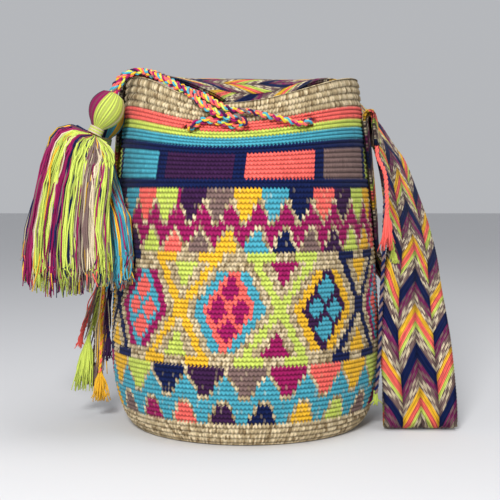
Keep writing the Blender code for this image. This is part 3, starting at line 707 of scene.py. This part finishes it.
RIGHT_TAIL = (
    (30.5, -0.0340, 0.0018), (29.2, -0.0342, 0.0044), (27.2, -0.0348, 0.0052),
    (24.0, -0.0345, 0.0053), (20.4, -0.0305, 0.0053), (16.5, -0.0265, 0.0053),
    (12.6, -0.0230, 0.0054), (8.4, -0.0185, 0.0060), (4.2, -0.0145, 0.0072),
    (0.6, -0.0122, 0.0087), (-2.7, -0.0112, 0.0095), (-5.7, -0.0085, 0.0095),
    (-8.4, -0.0045, 0.0088), (-11.7, 0.0004, 0.0058), (-15.5, 0.0052, 0.0015),
    (-19.5, 0.0070, -0.0040), (-24.0, 0.0062, -0.0085), (-30.0, 0.0048, -0.0100),
    (-37.0, 0.0046, -0.0100), (-45.0, 0.0046, -0.0100), (-53.0, 0.0050, -0.0094),
    (-60.0, 0.0056, -0.0076), (-66.0, 0.0060, -0.0030), (-70.5, 0.0052, 0.0015),
    (-73.8, 0.0025, 0.0065), (-75.3, -0.0040, 0.0110), (-75.9, -0.0120, 0.0138),
    (-76.0, -0.0203, 0.0151),
)


def tail_route(eyelet, plan):
    """From the middle of an eyelet over the planned points."""
    start = on_body(radians(eyelet), EYELET_HEIGHT, -WALL / 2 + 2 * JOIN_GAP)
    return [start] + [on_body(radians(a), BAG_HEIGHT + h, out) for a, h, out in plan]


# Tassels

# Skirt: middle, half width, half depth, turn and tilt in degrees of each cross-section, from the neck down.
# Groups: where each colour ends, as a share of the width. Ends: the lowest and highest yarn tips.
LEFT_TASSEL = {
    "name": "tassel_left",
    "axis": (-0.44, -0.05, -0.89),
    "skirt": (
        ((-0.1415, -0.0668, 0.2672), 0.0270, 0.0125, -36.0, 27.0),
        ((-0.1450, -0.0690, 0.2575), 0.0370, 0.0160, -36.0, 20.0),
        ((-0.1490, -0.0715, 0.2430), 0.0395, 0.0172, -36.0, 12.0),
        ((-0.1530, -0.0740, 0.2220), 0.0430, 0.0178, -36.0, 5.0),
        ((-0.1580, -0.0765, 0.1900), 0.0475, 0.0182, -36.0, 0.0),
        ((-0.1595, -0.0770, 0.1580), 0.0520, 0.0188, -36.0, 0.0),
        ((-0.1595, -0.0770, 0.1400), 0.0520, 0.0188, -36.0, 0.0),
    ),
    "groups": (
        (0.03, "navy"), (0.06, "gold"), (0.09, "navy"), (0.24, "magenta"), (0.27, "cream"), (0.45, "lime"),
        (0.54, "magenta"), (0.57, "navy"), (0.60, "magenta"), (0.78, "lime"), (0.88, "taupe"),
        (0.93, "cream"), (1.01, "lime"),
    ),
    "head": ("magenta magenta plum lime lime magenta magenta lime navy lime lime lime cream lime lime "
             "lime lime lime lime magenta magenta magenta plum magenta").split(),
    "strands": 760,
    "ends": (0.126, 0.153),
}
RIGHT_TASSEL = {
    "name": "tassel_right",
    "axis": (-0.15, -0.03, -0.98),
    "skirt": (
        ((-0.1310, -0.0390, 0.2500), 0.0095, 0.0082, -54.0, 0.0),
        ((-0.1295, -0.0450, 0.2330), 0.0120, 0.0090, -54.0, 0.0),
        ((-0.1262, -0.0560, 0.2180), 0.0200, 0.0095, -56.0, 0.0),
        ((-0.1190, -0.0650, 0.1950), 0.0250, 0.0090, -57.0, 0.0),
        ((-0.1165, -0.0694, 0.1650), 0.0280, 0.0086, -57.0, 0.0),
        ((-0.1162, -0.0700, 0.1460), 0.0280, 0.0084, -57.0, 0.0),
        ((-0.1162, -0.0700, 0.1380), 0.0280, 0.0084, -57.0, 0.0),
    ),
    "groups": (
        (0.16, "teal"), (0.26, "taupe"), (0.42, "navy"), (0.50, "teal"), (0.62, "teal"), (0.70, "cream"),
        (0.86, "teal"), (0.93, "gold"), (1.01, "teal"),
    ),
    "head": "teal navy lime teal navy teal gold teal navy teal lime teal".split(),
    "strands": 300,
    "ends": (0.130, 0.150),
}


HEAD_AROUND, HEAD_DOWN = 72, 18  # faces in the wound head
TOP_RADIUS = 0.0042
TIE_TURNS = 5
TIE_RADIUS = 0.0008
LOOSE_RADIUS = 0.00075
MIXED = 0.24  # share of yarns that don't keep to their group's colour
TIPPED = 0.12  # share of yarns with a tip of another colour
TIP_FROM = 0.86


def tassel_head(plan, top, axis, side, front):
    """The wound head, with lines of thread down its sides and painted shade between the threads."""
    verts, faces, tints = [], [], []
    heads = [YARN[n] for n in plan["head"]]
    for k in range(HEAD_DOWN + 1):
        t = k / HEAD_DOWN
        belly = sin(pi * min(1.0, 0.10 + 0.86 * t)) ** 0.6
        radius = max(NECK_RADIUS, HEAD_WIDTH / 2 * belly) if k else TOP_RADIUS
        centre = top + axis * (HEAD_LENGTH * t)
        for i in range(HEAD_AROUND):
            a = 2 * pi * (i / HEAD_AROUND + 0.05 * t)
            r = radius * (1.0 + (0.045 if i % 2 else -0.02))
            verts.append(centre + side * (r * cos(a)) + front * (r * sin(a)))
    for k in range(HEAD_DOWN):
        here, below = k * HEAD_AROUND, (k + 1) * HEAD_AROUND
        for i in range(HEAD_AROUND):
            j = (i + 1) % HEAD_AROUND
            faces.append((here + j, here + i, below + i, below + j))
            thread = heads[i * len(heads) // HEAD_AROUND]
            if i % 3 == 0:
                thread = 0.6 * thread + 0.4 * YARN["taupe"]
            # Painted shade: every other face darker, for the grooves between the wound threads
            tints.append(thread * (1.0 if i % 2 else 0.62))
    faces.append(tuple(range(HEAD_AROUND)))
    tints.append(heads[0])
    return tinted_mesh(plan["name"] + "_head", (verts, faces, tints), LOOSE)


def tassel_tie(plan, neck, axis, side, front):
    """Turns of thread round the neck."""
    parts = [], [], []
    for turn in range(TIE_TURNS):
        centre = neck + axis * (0.0006 + 0.00125 * turn)
        loop = [centre + (side * cos(a) + front * sin(a)) * (NECK_RADIUS + 0.0006)
                for a in np.linspace(0, 2 * pi, 25)]
        tint = YARN["lime" if turn % 2 else "cream"] * 0.8
        add_tube(parts, np.array([tuple(p) for p in loop]), TIE_RADIUS, tint, 5)
    return tinted_mesh(plan["name"] + "_tie_yarn", parts, LOOSE)


def loose_yarns(plan, neck, axis, side, front):
    """The skirt: each yarn runs from the neck through all cross-sections; most lie at the front."""
    parts = [], [], []
    for _ in range(plan["strands"]):
        share = random.random()
        x = 2 * share - 1
        limit = sqrt(max(0.0, 1 - x * x))
        y = random.choice((-1, -1, -1, 1, 0.6)) * limit * random.uniform(0.72, 1.0)
        start_a = atan2(y, x) + random.uniform(-0.2, 0.2)
        points = [neck + (side * cos(start_a) * 0.5 + front * sin(start_a)) * NECK_RADIUS * 0.7]
        points.append(neck + axis * TIE_HEIGHT + side * -x * NECK_RADIUS * 0.4)
        for centre, wide, deep, turn, tilt in plan["skirt"]:
            a, b = radians(turn), radians(tilt)
            u = Vector((cos(a) * cos(b), sin(a) * cos(b), -sin(b)))
            v = Vector((-sin(a), cos(a), 0.0))
            wave = Vector((random.gauss(0, 0.0012), random.gauss(0, 0.0010), 0.0))
            points.append(Vector(centre) + u * (wide * 0.97 * x) + v * (deep * 0.95 * y) + wave)
        bottom = points[-1]
        end = random.uniform(*plan["ends"]) + 0.012 * (x * x)
        points[-1] = Vector((bottom.x + random.gauss(0, 0.0015), bottom.y + random.gauss(0, 0.0012), end))
        if points[-2].z < end + 0.004:
            points[-2].z = end + 0.010
        name = next(colour for edge, colour in plan["groups"] if share < edge)
        if random.random() < MIXED:
            name = random.choice(("taupe", "taupe", "navy", "magenta", "magenta", "cream", "gold"))
        tint = tip = YARN[name] * random.uniform(0.50, 1.12)
        if random.random() < TIPPED:
            tip = YARN[random.choice(("gold", "coral", "plum", "navy"))]
        add_tube(parts, smooth_line(points, 13), LOOSE_RADIUS, tint, 4, taper=True,
                 vary=lambda t, a=tint, b=tip: b if t > TIP_FROM else a)
    return tinted_mesh(plan["name"] + "_yarns", parts, LOOSE)


def tassel(plan, cord_end, cord_way):
    """Head, neck tie and loose yarns. Returns the pieces and the line on which the cord runs on inside."""
    axis = Vector(plan["axis"]).normalized()
    side = Vector((0, 1, 0)).cross(axis).normalized()
    axes = (axis, side, axis.cross(side))
    top = cord_end + cord_way * JOIN_GAP
    neck = top + axis * HEAD_LENGTH
    head = tassel_head(plan, top, *axes)
    tie = tassel_tie(plan, neck, *axes)
    skirt = loose_yarns(plan, neck, *axes)
    inner = [top + axis * (HEAD_LENGTH * 0.5), neck, neck + axis * TIE_HEIGHT]
    inner += [Vector(row[0]) for row in plan["skirt"][1:4]]
    return head, tie, skirt, inner


def tail_and_tassel(node, eyelet, plan, tassel_plan):
    """One free end of the drawstring with the tassel on it."""
    route = tail_route(eyelet, plan)
    before, end = (Vector(p) for p in smooth_line(route, 200)[-2:])
    way = (end - before).normalized()
    head, tie, skirt, inner = tassel(tassel_plan, end, way)
    obj, path, length = braid(node + "_braid", route + inner)
    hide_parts(node)
    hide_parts(tassel_plan["name"])
    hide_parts(tassel_plan["name"] + "_tie")


# Strap: place, outward direction and curl across its width, from the left end on

TYPED_HEIGHT = 0.322  # the bag height for which these heights were chosen
OVER_MOUTH = (
    ((-0.1133, 0.0222, 0.3260), (-0.70, 0.08, 0.70), 3.0),
    ((-0.1020, 0.0228, 0.3302), (-0.05, 0.0, 1.0), 2.0),
    ((-0.0850, 0.0290, 0.3292), (0.06, -0.08, 0.99), 3.0),
    ((-0.0620, 0.0475, 0.3275), (0.05, -0.25, 0.96), 6.0),
    ((-0.0330, 0.0710, 0.3262), (0.0, -0.45, 0.88), 14.0),
    ((0.0000, 0.0850, 0.3262), (0.0, -0.52, 0.85), 19.0),
    ((0.0290, 0.0885, 0.3275), (0.0, -0.40, 0.91), 15.0),
    ((0.0540, 0.0880, 0.3302), (0.05, -0.18, 0.98), 7.0),
    ((0.0760, 0.0865, 0.3312), (0.20, -0.05, 0.98), 3.0),
    ((0.0930, 0.0850, 0.3275), (0.60, -0.06, 0.80), 1.0),
    ((0.1050, 0.0832, 0.3165), (0.86, -0.16, 0.48), 0.0),
)
HANGING = (
    ((0.1140, 0.0815, 0.3030), (0.95, -0.26, 0.15), 0.0),
    ((0.1225, 0.0800, 0.2910), (0.93, -0.34, 0.10), 0.0),
    ((0.1315, 0.0770, 0.2780), (0.90, -0.42, 0.10), 0.0),
    ((0.1400, 0.0710, 0.2635), (0.86, -0.50, 0.08), 0.0),
    ((0.1465, 0.0630, 0.2490), (0.79, -0.61, 0.08), 0.0),
    ((0.1530, 0.0450, 0.2200), (0.73, -0.69, 0.05), 0.0),
    ((0.1575, 0.0260, 0.1890), (0.64, -0.77, 0.05), 0.0),
    ((0.1595, 0.0060, 0.1600), (0.545, -0.84, 0.05), 0.0),
    ((0.1562, -0.0215, 0.1180), (0.318, -0.948, 0.05), 0.0),
    ((0.1555, -0.0430, 0.0750), (0.08, -0.995, 0.05), 0.0),
    ((0.1590, -0.0478, 0.0300), (0.0, -1.0, 0.02), 0.0),
    ((0.1595, -0.0500, 0.0092), (0.0, -1.0, 0.0), 0.0),
    ((0.1595, -0.0484, 0.0050), (0.0, -0.7, -0.7), 0.0),
    ((0.1595, -0.0445, 0.0034), (0.0, 0.0, -1.0), 0.0),
    ((0.1595, -0.0406, 0.0050), (0.0, 0.7, -0.7), 0.0),
    ((0.1595, -0.0390, 0.0092), (0.0, 1.0, 0.0), 0.0),
    ((0.1585, -0.0310, 0.0300), (-0.20, 0.97, -0.2), 0.0),
    ((0.1555, -0.0080, 0.0750), (-0.72, 0.69, -0.1), 0.0),
    ((0.1440, 0.0140, 0.1180), (-0.985, 0.17, 0.0), 0.0),
    ((0.1335, 0.0195, 0.1400), (-1.0, 0.0, 0.0), -2.5),
)


def strap_stations():
    """All stations of the strap: up the left wall, over the mouth, down, back up behind and folded over."""
    lift = STRAP_THICKNESS / 2 + STRAP_CLEARANCE + RIDGE_RELIEF
    fold = STRAP_THICKNESS * 2 / 3 + STRAP_CLEARANCE
    left, right = radians(LEFT_END_ANGLE), radians(RIGHT_END_ANGLE)
    hug = 1 / (BELLY_RADIUS + lift)
    stations = []
    for height in (LEFT_END_HEIGHT, LEFT_END_HEIGHT + 0.035, LEFT_END_HEIGHT + 0.070, BAG_HEIGHT - 0.008):
        stations.append((on_body(left, height, lift), (sin(left), -cos(left), 0.0), hug))
    rise = BAG_HEIGHT / TYPED_HEIGHT
    stations += [(Vector((x, y, z * rise)), n, c) for (x, y, z), n, c in OVER_MOUTH + HANGING]
    for degrees, below in ((99.0, 0.157), (95.0, 0.122), (92.0, 0.088)):
        a = radians(degrees)
        stations.append((on_body(a, BAG_HEIGHT - below, lift), (-sin(a), cos(a), 0.0), -hug))
    outward = (sin(right), -cos(right), 0.0)
    inward = tuple(-c for c in outward)
    top = BAG_HEIGHT - 0.030
    folded_end = (  # height, number of folds out, outward direction and curl
        (top - 0.028, 0, inward, -hug), (top - 0.005, 0, inward, -hug), (top, 1, (0.0, 0.0, 1.0), 0.0),
        (top - 0.005, 2, outward, hug), (top - 0.016, 2, outward, hug), (RIGHT_END_HEIGHT, 2, outward, hug),
    )
    stations += [(on_body(right, height, lift + folds * fold), n, c) for height, folds, n, c in folded_end]
    return [(*p, *n, c) for p, n, c in stations]


def dense_strap():
    """Places, width directions, outward directions, curls and lengths, closely spaced along the strap."""
    rows = strap_stations()
    dense = smooth_line(rows, 40 * (len(rows) - 1))
    places = dense[:, :3]
    ways = unit(np.gradient(places, axis=0))
    across = unit(np.cross(dense[:, 3:6], ways))
    outs = np.cross(ways, across)
    gaps = np.linalg.norm(np.diff(places, axis=0), axis=1)
    lengths = np.concatenate([[0.0], np.cumsum(gaps)])
    return places, across, outs, dense[:, 6], lengths


CHEVRON = 0.0285  # how far a strand runs along the strap while it crosses one column
WEAVE_PERIOD = 0.0770
WEAVE_START = 0.0237
WEAVE = (  # where each colour ends, as a share of the period
    (0.185, "navy"), (0.340, "wine"), (0.400, "taupe"), (0.510, "marl"), (0.615, "gold"), (0.735, "coral"),
    (0.815, "lime"), (0.910, "marl"), (1.001, "taupe"),
)
STRAND = 0.0029
PER_COLUMN = 5  # faces across each of the four columns
FULL, AT_GROOVE, AT_EDGE = 0.98, 0.86, 0.45  # shares of the strap's thickness
STRAND_TOP, STRAND_FOOT = 0.00036, -0.00026
EDGE_STITCH = 0.0007
# Painted light on each strand's top, painted shade at its foot and in the grooves between columns
PAINTED_TOP_LIGHT, PAINTED_FOOT_SHADE, PAINTED_GROOVE_SHADE = 1.08, 0.30, 0.50


def weave_tint(strand, column, outer):
    """The yarn of one strand; marled strands show a light and a dark ply by turns."""
    at = WEAVE_START + strand * STRAND + (WEAVE_PERIOD / 2 if outer else 0.0)
    share = (at / WEAVE_PERIOD) % 1.0
    name = next(colour for edge, colour in WEAVE if share < edge)
    if name == "marl":
        name = "cream" if (strand + column) % 2 else "taupe"
    elif name == "taupe" and (strand + column) % 4 == 0:
        name = "cream"
    elif name == "wine" and (strand + column) % 3 == 0:
        name = "taupe"
    return YARN[name] * random.uniform(0.72, 1.18) * (1.22 if strand % 2 else 0.86)


def strap_point(route, s, w, wider, out):
    """A place on the strap, from its length, its width (made wider by an edge stitch) and its depth."""
    places, across, outs, curls, lengths = route
    point, a, o = (np.array([np.interp(s, lengths, table[:, c]) for c in range(3)])
                   for table in (places, across, outs))
    curl = float(np.interp(s, lengths, curls))
    turn = curl * w
    along = sin(turn) / curl if abs(curl) > 0.01 else w
    back = (1 - cos(turn)) / curl if abs(curl) > 0.01 else 0.0
    normal = o * cos(turn) + a * sin(turn)
    return point + a * (along + copysign(wider, w)) - o * back + normal * out


def strap():
    """The woven band: rows of the mesh follow the slanted strands, so every strand keeps its own colour."""
    route = dense_strap()
    places, across, outs, curls, lengths = route
    total = float(lengths[-1])
    columns = 4 * PER_COLUMN
    ws = [(i / columns - 0.5) * STRAP_WIDTH for i in range(columns + 1)]
    shear = [CHEVRON * abs(((i / PER_COLUMN) + 1) % 2 - 1) for i in range(columns + 1)]
    half_step = STRAND / 2
    starts = np.arange(-CHEVRON - half_step, total + half_step, half_step)
    rows = range(len(starts) - 1)

    def beyond(k, *columns_at):
        """Whether these faces lie wholly before the strap's start or after its end."""
        ends = [starts[row] + shear[i] for row in (k, k + 1) for i in columns_at]
        return max(ends) <= 0.0 or min(ends) >= total

    verts, faces, tints, painted_light_and_shade = [], [], [], []
    grids = {}

    def add_face(quad, flip, tint):
        faces.append(tuple(int(q) for q in (quad[::-1] if flip else quad)))
        tints.append(tint)

    for side in (1, -1):
        grids[side] = np.arange(len(starts) * (columns + 1)).reshape(len(starts), -1) + len(verts)
        for k, s0 in enumerate(starts):
            for i in range(columns + 1):
                s = min(max(s0 + shear[i], 0.0), total)
                edge, groove = i in (0, columns), i % PER_COLUMN == 0
                thick = STRAP_THICKNESS / 2 * (AT_EDGE if edge else AT_GROOVE if groove else FULL)
                relief = 0.0 if edge else STRAND_TOP if k % 2 else STRAND_FOOT
                wider = EDGE_STITCH if edge and k % 2 else 0.0
                verts.append(strap_point(route, s, ws[i], wider, side * (thick + relief)))
                # Painted shade and light for this vertex
                painted_light_and_shade.append((PAINTED_TOP_LIGHT if k % 2 else PAINTED_FOOT_SHADE) * (PAINTED_GROOVE_SHADE if groove else 1.0))
    for side, grid in grids.items():
        for k in rows:
            for i in range(columns):
                if not beyond(k, i, i + 1):
                    outer = i < PER_COLUMN or i >= 3 * PER_COLUMN
                    quad = (grid[k, i], grid[k, i + 1], grid[k + 1, i + 1], grid[k + 1, i])
                    add_face(quad, side < 0, weave_tint((k + 1) // 2, i, outer))
    for i, flip in ((0, True), (columns, False)):
        for k in rows:
            if not beyond(k, i):
                quad = (grids[1][k, i], grids[1][k + 1, i], grids[-1][k + 1, i], grids[-1][k, i])
                add_face(quad, flip, weave_tint((k + 1) // 2, i, True) * 0.9)
    obj = tinted_mesh("strap_woven", (verts, faces, tints), WOVEN, painted_light_and_shade)
    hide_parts("strap")
    return [(Vector(places[k]), Vector(across[k]), Vector(outs[k]), float(curls[k]), way_out)
            for k, way_out in ((0, -1), (-1, 1))]


# Fringes: yarn, place across the strap's end, and the points below it

LEFT_FRINGE = (
    ("plum", -0.0270, ((-0.1285, -0.0060, 0.1750), (-0.1305, -0.0105, 0.1200), (-0.1312, -0.0125, 0.0800))),
    ("gold", -0.0165, ((-0.1310, 0.0020, 0.1750), (-0.1365, -0.0020, 0.1150), (-0.1405, -0.0040, 0.0450))),
    ("taupe_1", -0.0060, ((-0.1325, 0.0120, 0.1750), (-0.1390, 0.0095, 0.1150), (-0.1440, 0.0065, 0.0530))),
    ("lime", 0.0045, ((-0.1345, 0.0215, 0.1750), (-0.1450, 0.0165, 0.1150), (-0.1530, 0.0075, 0.0760))),
    ("taupe_2", 0.0150, ((-0.1335, 0.0320, 0.1750), (-0.1420, 0.0275, 0.1150), (-0.1505, 0.0190, 0.0550))),
    ("coral", 0.0255, ((-0.1335, 0.0410, 0.1750), (-0.1480, 0.0350, 0.1200), (-0.1620, 0.0260, 0.0800))),
)
RIGHT_FRINGE = (
    ("lime_1", -0.0220, ((0.1284, -0.0245, 0.2350), (0.1278, -0.0275, 0.1980), (0.1262, -0.0330, 0.1550),
                         (0.1225, -0.0450, 0.1080), (0.1208, -0.0530, 0.0720), (0.1185, -0.0465, 0.0340))),
    ("coral", -0.0298, ((0.1268, -0.0350, 0.2350), (0.1282, -0.0385, 0.2150), (0.1285, -0.0385, 0.1980))),
    ("lime_2", -0.0080, ((0.1302, -0.0105, 0.2350), (0.1325, -0.0160, 0.1950), (0.1372, -0.0195, 0.1630))),
)
PLIES = {
    "plum": ("plum", "navy"), "gold": ("gold", "coral"), "taupe": ("taupe", "cream"),
    "lime": ("lime", "lime"), "coral": ("coral", "coral"), "lime_1": ("navy", "taupe"),
}
TUFTS = {  # tuft colour, length, spread and count of the loose ends
    "left_gold": ("gold", 0.028, 0.0075, 56), "left_lime": ("lime", 0.050, 0.0080, 84),
    "right_coral": ("coral", 0.034, 0.0050, 40), "left_plum": ("plum", 0.022, 0.0035, 26),
    "left_taupe_1": ("taupe", 0.026, 0.0050, 36), "left_taupe_2": ("taupe", 0.026, 0.0050, 36),
    "left_coral": ("coral", 0.016, 0.0030, 18), "right_lime_1": ("lime", 0.012, 0.0025, 14),
    "right_lime_2": ("lime", 0.012, 0.0025, 14),
}


STRAYS = 14  # loose yarns along each cord on the left
STRAY_DRIFT = 0.0011
STRAY_RADIUS, TUFT_RADIUS = 0.0006, 0.00065


def tuft(key, end, way, path):
    """Loose yarns where a fringe cord comes undone, and along it on the left."""
    name, reach, spread, count = TUFTS[key]
    parts = [], [], []
    places = np.array(path)
    for _ in range(STRAYS if key.startswith("left") else 0):
        first = int(len(places) * random.uniform(0.25, 0.6))
        picked = places[first::max(1, (len(places) - first) // 6)]
        steps = np.random.default_rng(random.randrange(10**6)).normal(0, STRAY_DRIFT, picked.shape)
        picked = picked + np.cumsum(steps, axis=0)
        picked[:, 2] = np.maximum(picked[:, 2], 0.004)
        tint = YARN[random.choice((name, name, "taupe", "cream"))] * random.uniform(0.7, 1.0)
        add_tube(parts, smooth_line(picked, 20), STRAY_RADIUS, tint, 4, taper=True)
    for _ in range(count):
        a = random.uniform(0, 2 * pi)
        r = sqrt(random.random())
        away = Vector((cos(a), 0.5 * sin(a), 0.0)) * r
        length = reach * random.uniform(0.7, 1.0)
        points = [end - way * 0.004 + away * 0.0012, end + away * 0.0016,
                  end + way * length * 0.45 + away * spread * 0.8 + Vector((random.gauss(0, 0.0010), 0, 0)),
                  end + way * length + away * spread * 0.9 + Vector((random.gauss(0, 0.0024), 0, 0))]
        for p in points:
            p.z = max(p.z, 0.002)
        tint = YARN[name] * random.uniform(0.75, 1.1)
        add_tube(parts, smooth_line(points, 7), TUFT_RADIUS, tint, 4, taper=True)
    return tinted_mesh(f"fringe_{key}_tuft", parts, LOOSE)


def fringes(side, plans, end_frame):
    """The twisted cords that hang from one end of the strap."""
    place, across, face, curl, way_out = end_frame
    along = across.cross(face) * way_out
    for name, off, route in plans:
        turn = curl * off
        on_band = place + across * (sin(turn) / curl) - face * ((1 - cos(turn)) / curl)
        start = on_band + along * JOIN_GAP
        straight = [start + along * (step * FRINGE_DIAMETER) for step in (0.0, 1.3, 2.6)]
        points = straight + [Vector(p) for p in route]
        plies = PLIES.get(name, PLIES[name.split("_")[0]])
        obj, path, length = rope(f"fringe_{side}_{name}_rope", points, FRINGE_DIAMETER / 2, plies)
        end = Vector(path[-1])
        way = (end - Vector(path[-4])).normalized()
        loose = tuft(f"{side}_{name}", end, (way + Vector((0, 0, -0.8))).normalized(), path)
        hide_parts(f"fringe_{side}_{name}")


# Build everything

outside = crocheted_outside()
crocheted_inside()
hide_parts("bag_body")
left_end, right_end = strap()
held, _, _ = braid("drawstring_braid", held_route())
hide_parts("drawstring")
tail_and_tassel("drawstring_left_tail", EYELET_ANGLES[0], LEFT_TAIL, LEFT_TASSEL)
tail_and_tassel("drawstring_right_tail", EYELET_ANGLES[-1], RIGHT_TAIL, RIGHT_TASSEL)
fringes("left", LEFT_FRINGE, left_end)
fringes("right", RIGHT_FRINGE, right_end)


# Floor, light and camera

FLOOR_COLOUR = (0.66, 0.66, 0.67, 1.0)
ROOM_LIGHT = (0.86, 0.88, 0.92, 1.0)
ROOM_STRENGTH = 0.54
SENSOR, LENS = 36.0, 76.32  # millimetres
CAMERA_PLACE = (0.003, -1.01, 0.223)
CAMERA_TILT = radians(86.6)


def plain_floor():
    """A pale floor, not part of the bag."""
    mesh = bpy.data.meshes.new("floor")
    mesh.from_pydata([(-6, -6, 0), (6, -6, 0), (6, 8, 0), (-6, 8, 0)], [], [(0, 1, 2, 3)])
    mat = bpy.data.materials.new("floor_paint")
    mat.use_nodes = True
    set_inputs(mat.node_tree.nodes["Principled BSDF"], Base_Color=FLOOR_COLOUR, Roughness=0.8)
    mesh.materials.append(mat)
    obj = placed("floor", mesh)


def area_light(name, place, target, size, power):
    """A round light, turned towards its target."""
    data = bpy.data.lights.new(name, "AREA")
    data.shape = "DISK"
    data.size = size
    data.energy = power
    obj = placed(name, data)
    obj.location = place
    obj.rotation_euler = (Vector(target) - Vector(place)).to_track_quat("-Z", "Y").to_euler()


plain_floor()
scene = bpy.context.scene
world = bpy.data.worlds.new("soft_room")
world.use_nodes = True
set_inputs(world.node_tree.nodes["Background"], Color=ROOM_LIGHT, Strength=ROOM_STRENGTH)
scene.world = world
area_light("flash", (-0.25, -1.35, 0.85), (0.0, 0.0, 0.16), 0.35, 22.5)
area_light("ceiling", (0.3, -0.2, 1.9), (0.0, 0.0, 0.1), 1.2, 11.0)

optics = bpy.data.cameras.new("camera")
optics.sensor_width = SENSOR
optics.lens = LENS
camera = placed("camera", optics)
camera.location = CAMERA_PLACE
camera.rotation_euler = (CAMERA_TILT, 0.0, 0.0)
scene.camera = camera
scene.view_settings.view_transform = "Standard"
